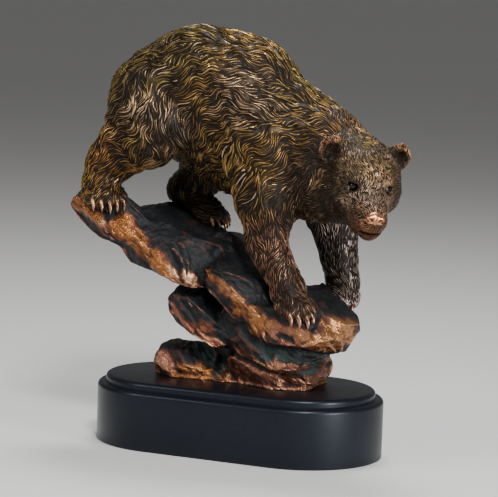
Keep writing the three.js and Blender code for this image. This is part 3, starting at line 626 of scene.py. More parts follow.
def paint(mesh, **values):
    """Stores a value or a colour at each point of a mesh, for its material to read."""
    for name, value in values.items():
        if value.ndim == 1:
            layer = mesh.attributes.new(name, "FLOAT", "POINT")
            layer.data.foreach_set("value", value.astype(np.float32))
        else:
            layer = mesh.attributes.new(name, "FLOAT_COLOR", "POINT")
            rgba = np.concatenate([value, np.ones((len(value), 1))], 1)
            layer.data.foreach_set("color", rgba.astype(np.float32).ravel())


def points_of(mesh):
    """A mesh's points in millimetres, and the way out at each."""
    place = np.zeros(len(mesh.vertices) * 3, np.float32)
    mesh.vertices.foreach_get("co", place)
    out = np.zeros(len(mesh.vertices) * 3, np.float32)
    mesh.vertices.foreach_get("normal", out)
    return place.reshape(-1, 3).astype(float) / MM, out.reshape(-1, 3).astype(float)


def swell(mesh, rounds):
    """How far each point stands out from the smoothed surface around it, in millimetres."""
    place, out = points_of(mesh)
    edges = np.zeros(len(mesh.edges) * 2, np.int32)
    mesh.edges.foreach_get("vertices", edges)
    a, b = edges.reshape(-1, 2).T
    share = np.maximum(np.bincount(np.concatenate([a, b]), minlength=len(place)), 1)
    smooth = place.copy()
    for _ in range(rounds):
        fresh = np.stack([
            np.bincount(a, smooth[b, k], len(place)) + np.bincount(b, smooth[a, k], len(place))
            for k in range(3)
        ], 1) / share[:, None]
        smooth = smooth * 0.4 + fresh * 0.6
    return ((place - smooth) * out).sum(1)


def thinned(name, points, faces, triangles):
    """A mesh with only so many triangles left, most of them where it bends."""
    mesh = mesh_of(name, points, faces)
    obj = in_scene(name, mesh)
    thin = obj.modifiers.new("thin", "DECIMATE")
    thin.ratio = min(1, triangles / (2 * len(faces)))
    thin.use_collapse_triangulate = True
    done = obj.evaluated_get(bpy.context.evaluated_depsgraph_get())
    fresh = bpy.data.meshes.new_from_object(done)
    bpy.data.objects.remove(obj)
    bpy.data.meshes.remove(mesh)
    fresh.name = name
    return fresh


# The bear

HEAD_AXES = facing(*HEAD_TURN)


def on_head(f, l, u):
    """A place given forward, left and up from the middle of the skull."""
    return HEAD_MIDDLE + vec(f, l, u) @ HEAD_AXES


def from_head(points):
    """Points in the head's own frame."""
    return (points - HEAD_MIDDLE) @ HEAD_AXES.T


def toes(paw):
    """Where each toe of a paw begins, and the paw's own directions."""
    axes = facing(paw["turn"], paw["slope"], 0)
    ball = np.array(paw["ball"], float)
    roots = [ball + axes[1] * s * paw["width"] * 0.8 + axes[0] * (3 - 4 * abs(s)) for s in TOES]
    return roots, axes


def paw_clay(clay, paw):
    height = paw["height"]
    clay.limb(paw["heel"], paw["ball"], height + 3, height + 1, 5)
    roots, axes = toes(paw)
    for root in roots:
        clay.limb(root - 5 * axes[0], root + 3 * axes[0], height * 0.55, height * 0.5, 2.2)


def head_egg(clay, f, l, u, size, soft, cut=False):
    """An egg on the head that lies the way the head does."""
    clay.egg(on_head(f, l, u), size, soft, HEAD_AXES, cut)


def skull(clay):
    head_egg(clay, 0, 0, 0, (29, 25.5, 23.5), 6)
    head_egg(clay, -14, 0, -4, (26, 28, 27), 8)
    clay.limb(on_head(16, 0, -4), on_head(43, 0, -12), 16, 10.5, 6)
    clay.limb(on_head(12, 0, -17), on_head(42, 0, -20), 15, 7, 5)
    for side in (-1, 1):
        head_egg(clay, 3, side * 14, -8, (17, 13, 14), 6)
        head_egg(clay, 19, side * 8.5, 8, (9, 7.5, 5.5), 4)


def face(clay):
    """The ears and their hollows, the eye sockets and the mouth."""
    f, l, u = EAR_HOLLOW
    for side in (-1, 1):
        head_egg(clay, -5, side * 22.8, 15.8, (4.6, 8.8, 9.6), 2.2)
        head_egg(clay, f, side * l, u, EAR_HOLLOW_SIZE, 1.5, cut=True)
        head_egg(clay, 25, side * 10.8, 2.8, (4, 4.6, 3.4), 2, cut=True)
    head_egg(clay, 48.5, 0, -19.2, (9, 7.5, 1.1), 1, cut=True)


def bear_clay(block):
    """The bear without its fur, in a block of clay."""
    clay = Clay(*block)
    for start, end, a, b, flat, soft in MUSCLES:
        clay.limb(AT[start], AT[end], a, b, soft, flat)
    for start, end, wide, soft in CREASES:
        clay.limb(start, end, wide, wide, soft, cut=True)
    skull(clay)
    for paw in PAWS.values():
        paw_clay(clay, paw)
    face(clay)
    return clay


# Fur

COAT += [
    (on_head(*at), np.array(lie) @ HEAD_AXES, length, tint) for at, lie, length, tint in HEAD_COAT
]
COAT_AT, COAT_LIE, COAT_LENGTH = (np.array([mark[i] for mark in COAT], float) for i in range(3))
COAT_LIE = unit(COAT_LIE)
COAT_TINT = np.array([TINTS[mark[3]] for mark in COAT])


def coat_at(points):
    """Way the fur lies, how long it is and its tint at each point, from the nearest marks."""
    away = ((points[:, None, :] - COAT_AT[None]) ** 2).sum(-1)
    share = 1 / (away + COAT_BLEND) ** 2
    share /= share.sum(1, keepdims=True)
    return share @ COAT_LIE, share @ COAT_LENGTH, share @ COAT_TINT


def coat_over(points):
    """The same for very many points, some of them at a time."""
    parts = [coat_at(part) for part in np.array_split(points, 20)]
    return [np.concatenate(values) for values in zip(*parts)]


def spread(points, room):
    """Numbers of the points kept when no two may be closer than their room."""
    order = RNG.permutation(len(points))
    cell_size = float(room.max())
    cells = np.floor(points / cell_size).astype(int)
    taken = {}
    kept = []
    for n in order:
        x, y, z = cells[n]
        p = points[n]
        limit = room[n] ** 2
        around = product((x - 1, x, x + 1), (y - 1, y, y + 1), (z - 1, z, z + 1))
        near = any(
            (p[0] - q[0]) ** 2 + (p[1] - q[1]) ** 2 + (p[2] - q[2]) ** 2 < limit
            for cell in around for q in taken.get(cell, ())
        )
        if not near:
            taken.setdefault((x, y, z), []).append(tuple(p))
            kept.append(n)
    return np.array(kept)


def flow_at(points, out):
    """Way the fur runs over the surface: the coat's direction, turned to and fro in waves."""
    lie, length, _ = coat_at(points)
    level = unit(lie - out * (lie * out).sum(1, keepdims=True))
    drift = 5 * ripple(points, WAVE_LUMPS, 5)
    phase = points @ unit(vec(*WAVE_WAY)) * (2 * math.pi / WAVE_LENGTH) + drift
    turn = WAVE_TURN * np.sin(phase) * (0.1 + 0.9 * length) + 1.5 * (ripple(points, 13, 7) - 0.5)
    return level * np.cos(turn)[:, None] + np.cross(out, level) * np.sin(turn)[:, None]


def tuft_at(points):
    """How much each point belongs to a tuft, from 0 to 1."""
    best = np.zeros(len(points))
    for place, reach in TUFTS:
        away = np.linalg.norm(points - place, axis=1)
        best = np.maximum(best, smoothstep(reach, reach * 0.4, away))
    return best


def traced(clay, place, long, stations):
    """Lines that start at some points and follow the fur, and the way out along them."""
    place, out = clay.settle(place, 0.0)
    step = (long / (stations - 1))[:, None]
    line, outs = [place], [out]
    way = flow_at(place, out)
    for _ in range(stations - 1):
        place, out = clay.settle(place + way * step, 0.0, rounds=1)
        way = unit(0.3 * way + 0.7 * flow_at(place, out))
        line.append(place)
        outs.append(out)
    return np.stack(line, 1), np.stack(outs, 1)


def grow_locks(clay):
    """Locks of fur over the clay: the line each follows, and its sizes."""
    points, _ = clay.surface()
    _, length, _ = coat_at(points)
    keep = length > 0.3
    points, length = points[keep], length[keep]
    kept = spread(points, LOCK_SPACING * (0.3 + 0.7 * length))
    place, length = points[kept], length[kept]
    count = len(place)
    big = 1 + 0.35 * tuft_at(place)
    long = LOCK_LENGTH * (0.2 + 0.8 * length) * RNG.uniform(0.8, 1.2, count)
    line, outs = traced(clay, place, long, LOCK_STATIONS)
    return dict(
        line=line, out=outs,
        wide=LOCK_WIDTH * big * (0.35 + 0.65 * length) * RNG.uniform(0.85, 1.2, count),
        high=LOCK_HEIGHT * big * length * RNG.uniform(0.6, 1.3, count),
    )


def spread_at(t, wide):
    """Half width of a lock along its length: it ends in a point."""
    return wide * np.minimum(1, 0.35 + 2.0 * t) ** 0.5 * (1 - t ** 3)


def rise_at(t, off, high):
    """Height of a lock along and across it."""
    return high * np.minimum(1, 0.2 + 1.2 * t) * np.minimum(1, 4 * (1.08 - t)) * (1 - off ** 2)


def comb(clay, locks):
    """Raises every lock as a ridge in the clay, and gives how high each grid point is raised."""
    u = np.linspace(0, 1, locks["line"].shape[1])
    fine = np.linspace(0, 1, 4 * len(u))
    at = np.clip(np.searchsorted(u, fine, "right") - 1, 0, len(u) - 2)
    share = ((fine - u[at]) / (u[1] - u[0]))[None, :, None]
    line = locks["line"][:, at] * (1 - share) + locks["line"][:, at + 1] * share
    out = unit(locks["out"][:, at] * (1 - share) + locks["out"][:, at + 1] * share)
    across = unit(np.cross(out, unit(np.gradient(line, axis=1))))
    raised = np.zeros(clay.depth.size, np.float32)
    stride = np.array([clay.count[1] * clay.count[2], clay.count[2], 1])
    for s in np.linspace(-0.95, 0.95, 11):
        height = rise_at(fine[None], abs(s), locks["high"][:, None])
        side = s * spread_at(fine[None], locks["wide"][:, None])
        for sunk in (0.2, 1.0):
            place = line + across * side[..., None] + out * (height * sunk - 0.5)[..., None]
            cell = np.round((place.reshape(-1, 3) - clay.low) / clay.step).astype(int)
            inside = ((cell > 0) & (cell < clay.count - 1)).all(1)
            inner = height.reshape(-1)[inside].astype(np.float32)
            np.maximum.at(raised, cell[inside] @ stride, inner)
    raised = smoothed(widest(raised.reshape(clay.depth.shape)))
    clay.depth = clay.depth - raised + LOCK_HEIGHT * LOCK_SINK * smoothstep(0, 0.5, raised)
    return raised


def widest(grid):
    """A grid with each value replaced by the largest one around it."""
    for axis in range(3):
        grid = np.maximum(grid, np.maximum(np.roll(grid, 1, axis), np.roll(grid, -1, axis)))
    return grid


def smoothed(grid):
    for axis in range(3):
        grid = (2 * grid + np.roll(grid, 1, axis) + np.roll(grid, -1, axis)) / 4
    return grid


def marks_round(radius):
    """Steps on the strands' grid that reach every cell inside a ball."""
    reach = int(math.ceil(radius / STRAND_CELL))
    steps = np.array(list(product(range(-reach, reach + 1), repeat=3)))
    return steps[(steps ** 2).sum(1) * STRAND_CELL ** 2 <= radius ** 2]


def parted(clay, line, room):
    """Picks lines, and how much of each, so that they lie side by side without crossing."""
    count = ((clay.count * clay.step) / STRAND_CELL).astype(int) + 8
    stride = np.array([count[1] * count[2], count[2], 1])

    def numbers(points):
        cell = np.round((points - clay.low) / STRAND_CELL).astype(int)
        return np.clip(cell, 3, count - 4) @ stride

    near = np.zeros(count.prod(), bool)
    close = np.zeros(count.prod(), bool)
    wide_marks = [marks_round(size) @ stride for size in STRAND_GRADES]
    tight_marks = [marks_round(size * TIGHT) @ stride for size in STRAND_GRADES]
    grade = np.abs(room[:, None] - STRAND_GRADES[None]).argmin(1)
    index = numbers(line)
    between = numbers((line[:, 1:] + line[:, :-1]) / 2)
    used = np.zeros(len(line), int)
    order = RNG.permutation(len(line))
    for least in (STRAND_STATIONS - 1, STRAND_STATIONS // 2, FEWEST_STATIONS):
        for n in order:
            if used[n] or near[index[n, 0]]:
                continue
            hit = close[index[n]]
            free = int(hit.argmax()) if hit.any() else len(hit)
            if free < least:
                continue
            used[n] = free
            spots = np.concatenate([index[n, :free], between[n, :free - 1]])
            near[(spots[:, None] + wide_marks[grade[n]]).ravel()] = True
            close[(spots[:, None] + tight_marks[grade[n]]).ravel()] = True
    return used


def resampled(line, used):
    """Each line cut to its used length, with the same number of stations as before."""
    stations = line.shape[1]
    at = np.linspace(0, 1, stations)[None] * (used[:, None] - 1)
    low = np.minimum(at.astype(int), stations - 2)
    share = (at - low)[..., None]
    rows = np.arange(len(line))[:, None]
    return line[rows, low] * (1 - share) + line[rows, low + 1] * share


def grow_strands(clay, raised, here):
    """Strands that lie side by side over the clay, where here says so."""
    points, _ = clay.surface()
    points = points[here(points)]
    points = points[RNG.permutation(len(points))[:SEEDS]]
    points = points + RNG.uniform(-0.4, 0.4, points.shape) * clay.step
    _, length, _ = coat_at(points)
    points, length = points[length > SHORTEST_FUR], length[length > SHORTEST_FUR]
    big = 1 + TUFT_GROWTH * tuft_at(points)
    room = STRAND_SPACING * big * (0.48 + 0.52 * length)
    long = STRAND_LENGTH * (0.22 + 0.78 * length) * RNG.uniform(0.6, 1.15, len(points))
    line, _ = traced(clay, points, long, STRAND_STATIONS)
    used = parted(clay, line, room)
    keep = used > 0
    line = resampled(line[keep], used[keep])
    room, big = room[keep], big[keep]
    count = len(line)
    u = np.linspace(0, 1, STRAND_STATIONS)[None]
    slim = (room / STRAND_SPACING / big) ** 0.5
    size = STRAND_RADIUS * (room / STRAND_SPACING) * slim * RNG.uniform(0.8, 1.2, count)
    lift = RNG.uniform(0.1, 0.9, count) * (room / STRAND_SPACING) * big
    height = lift[:, None] * u ** 2 - 0.1 * size[:, None]
    flat = line.reshape(-1, 3)
    flat, out = clay.settle(flat, height.reshape(-1), rounds=2)
    place, out = flat.reshape(line.shape), out.reshape(line.shape)
    ridge = clay.read(flat, raised).reshape(count, -1)
    _, length, tint = coat_at(place[:, 0])
    short = smoothstep(0.45, 0.15, length)
    return dict(place=place, out=out, size=size, ridge=ridge, tint=tint, big=big, short=short)


def tube_faces(rings, sides):
    """Faces of a closed tube: the points of its rings come first, then its two ends."""
    faces = []
    for r in range(rings - 1):
        for k in range(sides):
            a, b = r * sides + k, r * sides + (k + 1) % sides
            faces += [(a, b, b + sides), (a, b + sides, a + sides)]
    first, last = rings * sides, (rings - 1) * sides
    for k in range(sides):
        faces += [(first, (k + 1) % sides, k), (last + k, last + (k + 1) % sides, first + 1)]
    return np.array(faces)


def strand_mesh(name, grown):
    """A mesh of strands, each with three sides and a point, painted for its material."""
    place, out = grown["place"], grown["out"]
    total, stations, _ = place.shape
    u = np.linspace(0, 1, stations)
    along = unit(np.gradient(place, axis=1))
    across = unit(np.cross(out, along))
    taper = np.minimum(1, 0.3 + 4 * u) * (1 - u ** 3) ** 0.7
    radius = (grown["size"][:, None] * taper[None])[..., None]
    left = place + across * radius - out * radius * 0.7
    top = place + out * radius * 1.4
    right = place - across * radius - out * radius * 0.7
    ring = np.stack([left, top, right], 2)[:, :-1]
    root = place[:, 0] - along[:, 0] * 0.4 - out[:, 0] * 0.5 * grown["size"][:, None]
    points = np.concatenate([ring.reshape(total, -1, 3), root[:, None], place[:, -1:]], 1)
    each = points.shape[1]
    faces = tube_faces(stations - 1, 3)
    faces = (faces[None] + (np.arange(total) * each)[:, None, None]).reshape(-1, 3)
    mesh = mesh_of(name, points.reshape(-1, 3), faces)
    clump = ripple(place[:, stations // 2], 4.5, 21)
    # partly painted highlight: strands in tufts get a paler tone
    tone = np.clip(clump * 0.6 + RNG.uniform(0, 0.4, total) + 0.5 * (grown["big"] - 1), 0, 1)
    over = np.concatenate([np.tile((0.1, 1.0, 0.1), stations - 1), (0.0, 0.8)])
    fade = smoothstep(0.0, 0.3, np.concatenate([np.repeat(u[:-1], 3), (0, 1)]))
    ridge, short = grown["ridge"], grown["short"][:, None]
    height = np.concatenate([np.repeat(ridge[:, :-1], 3, 1), ridge[:, [0, -1]]], 1)
    lit = np.maximum(0.6 + 0.42 * np.clip(height / LOCK_HEIGHT * 1.6, 0, 1), 1.15 * short)
    inside = np.repeat(ear_hollow(place[:, 2])[:, None], each, 1)
    rub = 0.55 + 0.55 * RNG.uniform(0, 1, (total, 1)) ** 0.7
    crest = over * (0.5 + 0.5 * fade) * lit * np.maximum(rub, short) * (1 - 0.8 * inside)
    paint(
        mesh, tone=np.repeat(tone, each), crest=crest.ravel(),
        tint=np.repeat(grown["tint"], each, 0),
    )
    return mesh


# Horn, eyes and nose

def tube(path, radii, sides, squash, up):
    """A closed tapering horn along a path, which can be flatter from side to side."""
    along = unit(np.gradient(path, axis=0))
    side = unit(np.cross(up, along))
    top = np.cross(along, side)
    angle = np.linspace(0, 2 * math.pi, sides, endpoint=False)[None, :, None]
    radii = radii[:, None, None]
    ring = path[:, None] + side[:, None] * (np.cos(angle) * radii * squash)
    ring = ring + top[:, None] * (np.sin(angle) * radii)
    points = np.concatenate([ring.reshape(-1, 3), path[:1], path[-1:]])
    return points, tube_faces(len(path), sides)


def joined(parts):
    """Several sets of points and faces as one."""
    points = np.concatenate([p for p, _ in parts])
    offset = np.cumsum([0] + [len(p) for p, _ in parts])
    return points, np.concatenate([f + o for (_, f), o in zip(parts, offset)])


def claws(paw):
    """The paw's five claws, each a bent horn that curls down to a point."""
    roots, axes = toes(paw)
    scale = paw["height"] / CLAW_SCALE_HEIGHT
    curve = smooth_line(CLAW_LINE, CLAW_STATIONS)
    parts = []
    for root in roots:
        path = root + axes[0] * curve[:, :1] * scale + axes[2] * curve[:, 1:2] * scale
        parts.append(tube(path, curve[:, 2] * scale, CLAW_SIDES, CLAW_SQUASH, axes[2]))
    return joined(parts)


def smooth_line(values, stations):
    """A smooth run of so many stations through a few rows of values."""
    t = np.linspace(0, 1, len(values))
    slope = np.gradient(values, t, axis=0)
    fine = np.linspace(0, 1, stations)
    i = np.minimum(np.searchsorted(t, fine, "right") - 1, len(t) - 2)
    h = (t[i + 1] - t[i])[:, None]
    s = (fine - t[i])[:, None] / h
    return (
        values[i] * (2 * s ** 3 - 3 * s ** 2 + 1)
        + values[i + 1] * (3 * s ** 2 - 2 * s ** 3)
        + slope[i] * h * (s ** 3 - 2 * s ** 2 + s)
        + slope[i + 1] * h * (s ** 3 - s ** 2)
    )


def ball(middle, radius):
    """A closed ball."""
    rings, sides = 20, 32
    angle = np.linspace(0, math.pi, rings + 1)
    path = middle - radius * np.cos(angle)[:, None] * vec(0, 0, 1)
    radii = np.maximum(radius * np.sin(angle), 1e-3)
    return tube(path, radii, sides, 1, (0, 1, 0))


def nose_clay():
    middle = on_head(*NOSE)
    clay = Clay(middle - 13, middle + 13, 0.4)
    head_egg(clay, *NOSE, (4.6, 5.4, 4.3), 0.5)
    head_egg(clay, 48.5, 0, -11.7, (4.2, 3.2, 4), 2.5)
    for side in (-1, 1):
        head_egg(clay, 51.8, side * 3.8, -8.2, (3.6, 2.7, 3.2), 1.4)
        head_egg(clay, 56, side * 3.2, -8.2, (3, 1.7, 1.6), 0.6, cut=True)
        head_egg(clay, 54, side * 6, -9.2, (2.6, 2, 0.9), 0.6, cut=True)
    head_egg(clay, 56.4, 0, -9.5, (1.8, 0.5, 5.5), 0.7, cut=True)
    return clay


# Rock

LAYER_AXES = facing(0, LAYER_DIP, LAYER_LEAN)


def laid_stones():
    """Each stone's centre, half sizes and directions, its faces and the number that sets them."""
    for at, size, tilt, turn, lean, faces, seed in STONES:
        yield np.array(at, float), np.array(size, float), facing(turn, tilt, lean), faces, seed


def stone_planes(size, axes, faces, seed):
    """The flat faces of a stone: the way each faces, and how far out it is."""
    number = np.arange(faces)
    up = 1 - 2 * (number + 0.5) / faces
    girth = np.sqrt(1 - up * up)
    angle = GOLDEN_ANGLE * number + seed
    way = np.stack([girth * np.cos(angle), girth * np.sin(angle), up], 1)
    bulge = (np.abs(way * size) ** STONE_BULGE).sum(1) ** (1 / STONE_BULGE)
    keep = 1 - STONE_KNOCKS * scatter(number + seed * 3)
    return way @ axes, keep * bulge


def put_stone(clay, at, size, axes, faces, seed):
    ways, reaches = stone_planes(size, axes, faces, seed)
    reach = size.max() * 1.3

    def distance(x, y, z):
        depth = np.float32(-FAR_AWAY)
        for way, out in zip(ways.astype(np.float32), reaches.astype(np.float32)):
            beyond = (x - at[0]) * way[0] + (y - at[1]) * way[1] + ((z - at[2]) * way[2] - out)
            near = np.maximum(STONE_EDGE - np.abs(depth - beyond), 0)
            depth = np.maximum(depth, beyond) + near * near / (4 * STONE_EDGE)
        return depth

    clay.put(at - reach, at + reach, distance, STONE_JOIN)


def rock_mesh():
    clay = Clay(*ROCK_BLOCK)
    for stone in laid_stones():
        put_stone(clay, *stone)
    _, (_, _, z) = clay.part(clay.low, clay.low + clay.step * clay.count)
    clay.depth = np.maximum(clay.depth, (PLINTH_TOP - 0.02) - z).astype(np.float32)
    points, faces = clay.surface()
    out = unit(clay.slope(points))
    steep = smoothstep(0.98, 0.7, np.abs(out @ LAYER_AXES[2]))
    chips = sum(chipped(points, size, seed) * deep for size, seed, deep in CHIPS) - CHIP_LEVEL
    chips *= 0.4 + 0.6 * steep
    above = smoothstep(PLINTH_TOP, PLINTH_TOP + 2, points[:, 2])
    points = points - out * ((chips + layered(points, out)) * above)[:, None]
    points[:, 2] = np.maximum(points[:, 2], PLINTH_TOP)
    return mesh_of("rock", points, faces)


def layered(points, out):
    """Depth of the steps where layers of the rock break off one above the other."""
    level = LAYER_AXES[2]
    run = points @ level / LAYER_ROOM + 3.2 * ripple(points, 30, 51) + 1.1 * ripple(points, 11, 52)
    step = run - np.floor(run)
    ledge = smoothstep(0, 0.8, step) * smoothstep(1.0, 0.88, step)
    steep = smoothstep(0.95, 0.6, np.abs(out @ level))
    return LAYER_DEPTH * (1 - ledge) * steep * smoothstep(0.4, 0.7, ripple(points, 17, 53))


def chipped(points, size, seed):
    """Depth of flat chips struck off at random, from 0 to 1."""
    shake = np.random.default_rng(seed)
    base = np.floor(points / size).astype(int)
    best = np.full(len(points), FAR_AWAY)
    table = shake.uniform(0, 1, (4096, 7))
    for step in product((-1, 0, 1), repeat=3):
        cell = base + step
        key = (cell[:, 0] * 73856093 ^ cell[:, 1] * 19349663 ^ cell[:, 2] * 83492791) & 4095
        r = table[key]
        away = points - (cell + r[:, :3]) * size
        tilt = (r[:, 3:6] - 0.5) * 1.1
        bowl = ((away ** 2).sum(1) / size ** 2) * 0.8
        best = np.minimum(best, bowl + (away * tilt).sum(1) / size + r[:, 6] * 0.25)
    return np.clip(best + 0.35, 0, 1)


# Plinth

def plinth_profile():
    """Side view of the plinth's edge: distance out from the middle, and height."""
    radius = PLINTH_WIDTH / 2
    points = [(radius - FOOT_ROUND, 0)]
    points += arc(radius - FOOT_ROUND, FOOT_ROUND, FOOT_ROUND, -90, 0, 4)
    points += arc(radius - SHOULDER_ROUND, BODY_HEIGHT - SHOULDER_ROUND, SHOULDER_ROUND, 0, 90, 8)
    points += [(radius - TIER_INSET + 0.5, BODY_HEIGHT), (radius - TIER_INSET, BODY_HEIGHT + 0.5)]
    tier = radius - TIER_INSET - TIER_ROUND
    points += arc(tier, PLINTH_TOP - TIER_ROUND, TIER_ROUND, 0, 90, 8)
    return np.array(points)


def arc(x, y, radius, start, end, steps):
    turn = np.radians(np.linspace(start, end, steps + 1))
    return [(x + radius * math.cos(a), y + radius * math.sin(a)) for a in turn]


def plinth_mesh():
    inner = plinth_profile()
    straight = (PLINTH_LENGTH - PLINTH_WIDTH) / 2
    half = np.linspace(-math.pi / 2, math.pi / 2, PLINTH_SIDES // 2 + 1)
    angle = np.concatenate([half, half + math.pi])
    shift = np.concatenate([np.full(len(half), straight), np.full(len(half), -straight)])
    x = shift[None] + inner[:, :1] * np.cos(angle)[None]
    y = inner[:, :1] * np.sin(angle)[None]
    z = np.repeat(inner[:, 1:], len(angle), 1)
    points = np.stack([x, y, z], 2).reshape(-1, 3)
    count = len(angle)
    last = (len(inner) - 1) * count
    faces = []
    for r in range(0, last, count):
        for k in range(count):
            a, b = r + k, r + (k + 1) % count
            faces.append((a, b, b + count, a + count))
    faces += [list(range(count))[::-1], list(range(last, last + count))]
    mesh = bpy.data.meshes.new("plinth_black")
    mesh.from_pydata((points * MM).tolist(), [], faces)
    mesh.validate()
    return mesh


# Finish: shader groups that several materials use

class Nodes:
    """Short ways to add nodes to a tree and join them up."""

    def __init__(self, tree):
        self.tree = tree

    def add(self, kind, **settings):
        node = self.tree.nodes.new(kind)
        for name, value in settings.items():
            setattr(node, name, value)
        return node

    def fill(self, socket, value):
        """Joins a value from another node to a socket, or sets a plain one there."""
        if isinstance(value, bpy.types.NodeSocket):
            self.tree.links.new(value, socket)
        else:
            socket.default_value = value

    def feed(self, node, **inputs):
        for name, value in inputs.items():
            self.fill(node.inputs[name.replace("_", " ")], value)
        return node

    def sum(self, operation, a, b=0.0, clamp=False):
        node = self.add("ShaderNodeMath", operation=operation, use_clamp=clamp)
        self.fill(node.inputs[0], a)
        self.fill(node.inputs[1], b)
        return node.outputs[0]

    def plus(self, base, value, share):
        """A base value with a share of another one added."""
        return self.sum("ADD", base, self.sum("MULTIPLY", value, share))

    def mix(self, share, a, b, blend="MIX"):
        node = self.add("ShaderNodeMix", data_type="RGBA", blend_type=blend)
        for number, value in ((0, share), (6, a), (7, b)):
            self.fill(node.inputs[number], value)
        return node.outputs[2]

    def bump(self, shader, height, strength, distance):
        node = self.add("ShaderNodeBump")
        self.feed(node, Height=height, Strength=strength, Distance=distance)
        self.feed(shader, Normal=node.outputs["Normal"])

    def ramp(self, value, low, high):
        node = self.add("ShaderNodeMapRange", interpolation_type="SMOOTHSTEP")
        self.feed(node, Value=value, From_Min=low, From_Max=high)
        return node.outputs[0]

    def place(self):
        return self.add("ShaderNodeTexCoord").outputs["Object"]

    def noise(self, scale, detail, roughness, place=None):
        node = self.add("ShaderNodeTexNoise")
        place = self.place() if place is None else place
        self.feed(node, Vector=place, Scale=scale, Detail=detail, Roughness=roughness)
        return node.outputs["Fac"]

    def grain(self, scale, thin):
        """Noise in thin layers that lie the way the rock's layers do."""
        dip = Matrix(LAYER_AXES.T.tolist()).to_euler()
        turned = self.add("ShaderNodeMapping", vector_type="TEXTURE")
        self.feed(turned, Vector=self.place(), Rotation=dip, Scale=(1, 1, 1 / thin))
        return self.noise(scale, 4.0, 0.6, turned.outputs[0])

    def painted(self, name, kind="Fac"):
        """What is painted on the mesh under a name, as a value or a colour."""
        return self.add("ShaderNodeAttribute", attribute_name=name).outputs[kind]


def shader_group(name, inputs, outputs):
    """An empty shader group with named inputs and outputs, and its nodes."""
    tree = bpy.data.node_groups.new(name, "ShaderNodeTree")
    for label, kind, default in inputs:
        socket = tree.interface.new_socket(label, in_out="INPUT", socket_type="NodeSocket" + kind)
        socket.default_value = default
    for label, kind in outputs:
        tree.interface.new_socket(label, in_out="OUTPUT", socket_type="NodeSocket" + kind)
    nodes = Nodes(tree)
    return tree, nodes, nodes.add("NodeGroupInput"), nodes.add("NodeGroupOutput")


def mottle_group():
    """Cloudy and fine variation that patina has: a mask for each."""
    tree, n, enter, leave = shader_group(
        "patina_mottle",
        [("Cloud Scale", "Float", 30.0), ("Fleck Scale", "Float", 400.0)],
        [("Cloud", "Float"), ("Fleck", "Float")],
    )
    cloud = n.noise(enter.outputs["Cloud Scale"], 4.0, 0.6)
    fleck = n.noise(enter.outputs["Fleck Scale"], 2.0, 0.5)
    n.feed(leave, Cloud=n.ramp(cloud, 0.35, 0.65), Fleck=n.ramp(fleck, 0.4, 0.7))
    return tree


def rubbed_group():
    """Dark colour in the hollows and bare metal colour on the ridges."""
    tree, n, enter, leave = shader_group(
        "rubbed_through",
        [
            ("Hollow Color", "Color", (0.01, 0.012, 0.011, 1)),
            ("Ridge Color", "Color", (0.5, 0.3, 0.1, 1)),
            ("Ridge", "Float", 0.5), ("Low", "Float", 0.2), ("High", "Float", 0.8),
        ],
        [("Color", "Color"), ("Mask", "Float")],
    )
    hollow, metal, ridge, low, high = list(enter.outputs)[:5]
    span = n.sum("SUBTRACT", high, low)
    mask = n.sum("DIVIDE", n.sum("SUBTRACT", ridge, low), span, clamp=True)
    n.feed(leave, Color=n.mix(mask, hollow, metal), Mask=mask)
    return tree


def new_material(name, cloud_scale, fleck_scale):
    """A new material, its nodes, its shader, and the cloud and fleck masks of its mottle."""
    material = bpy.data.materials.new(name)
    material.use_nodes = True
    n = Nodes(material.node_tree)
    mottle = n.add("ShaderNodeGroup", node_tree=MOTTLE)
    n.feed(mottle, Cloud_Scale=cloud_scale, Fleck_Scale=fleck_scale)
    shader = material.node_tree.nodes["Principled BSDF"]
    return material, n, shader, mottle.outputs["Cloud"], mottle.outputs["Fleck"]


def rub_through(n, hollow, metal, ridge, low, high):
    """Colour and mask where metal is rubbed through: none under low, all of it above high."""
    node = n.add("ShaderNodeGroup", node_tree=RUBBED)
    n.feed(node, Hollow_Color=hollow, Ridge_Color=metal, Ridge=ridge, Low=low, High=high)
    return node.outputs["Color"], node.outputs["Mask"]


MOTTLE = mottle_group()
RUBBED = rubbed_group()

# Colours of the finish: grooves of the fur, what dulls its darker strands, its palest tips;
# the rock's shadows, sharp edges, two darks and verdigris; claws; eyes; lacquer and its dust
GROOVE = (0.011, 0.007, 0.004, 1)
DULLED = (0.55, 0.5, 0.42, 1)
# pale tips of random strands, and on the tufts partly a painted highlight
PALE_TIP_AND_HIGHLIGHT = (0.62, 0.40, 0.27, 1)
DEEP_RUST = (0.15, 0.048, 0.028, 1)
PALE_EDGE = (0.62, 0.34, 0.19, 1)
ROCK_DARKS = (0.004, 0.0048, 0.0055, 1), (0.010, 0.0115, 0.0125, 1)
ROCK_GREEN = (0.045, 0.078, 0.072, 1)
CLAW_COPPERS = (0.16, 0.07, 0.04, 1), (0.50, 0.28, 0.18, 1)
EYE_BLACKS = (0.004, 0.004, 0.004, 1), (0.012, 0.010, 0.008, 1)
LACQUER_BLACKS = (0.0025, 0.0032, 0.0055, 1), (0.022, 0.024, 0.032, 1)


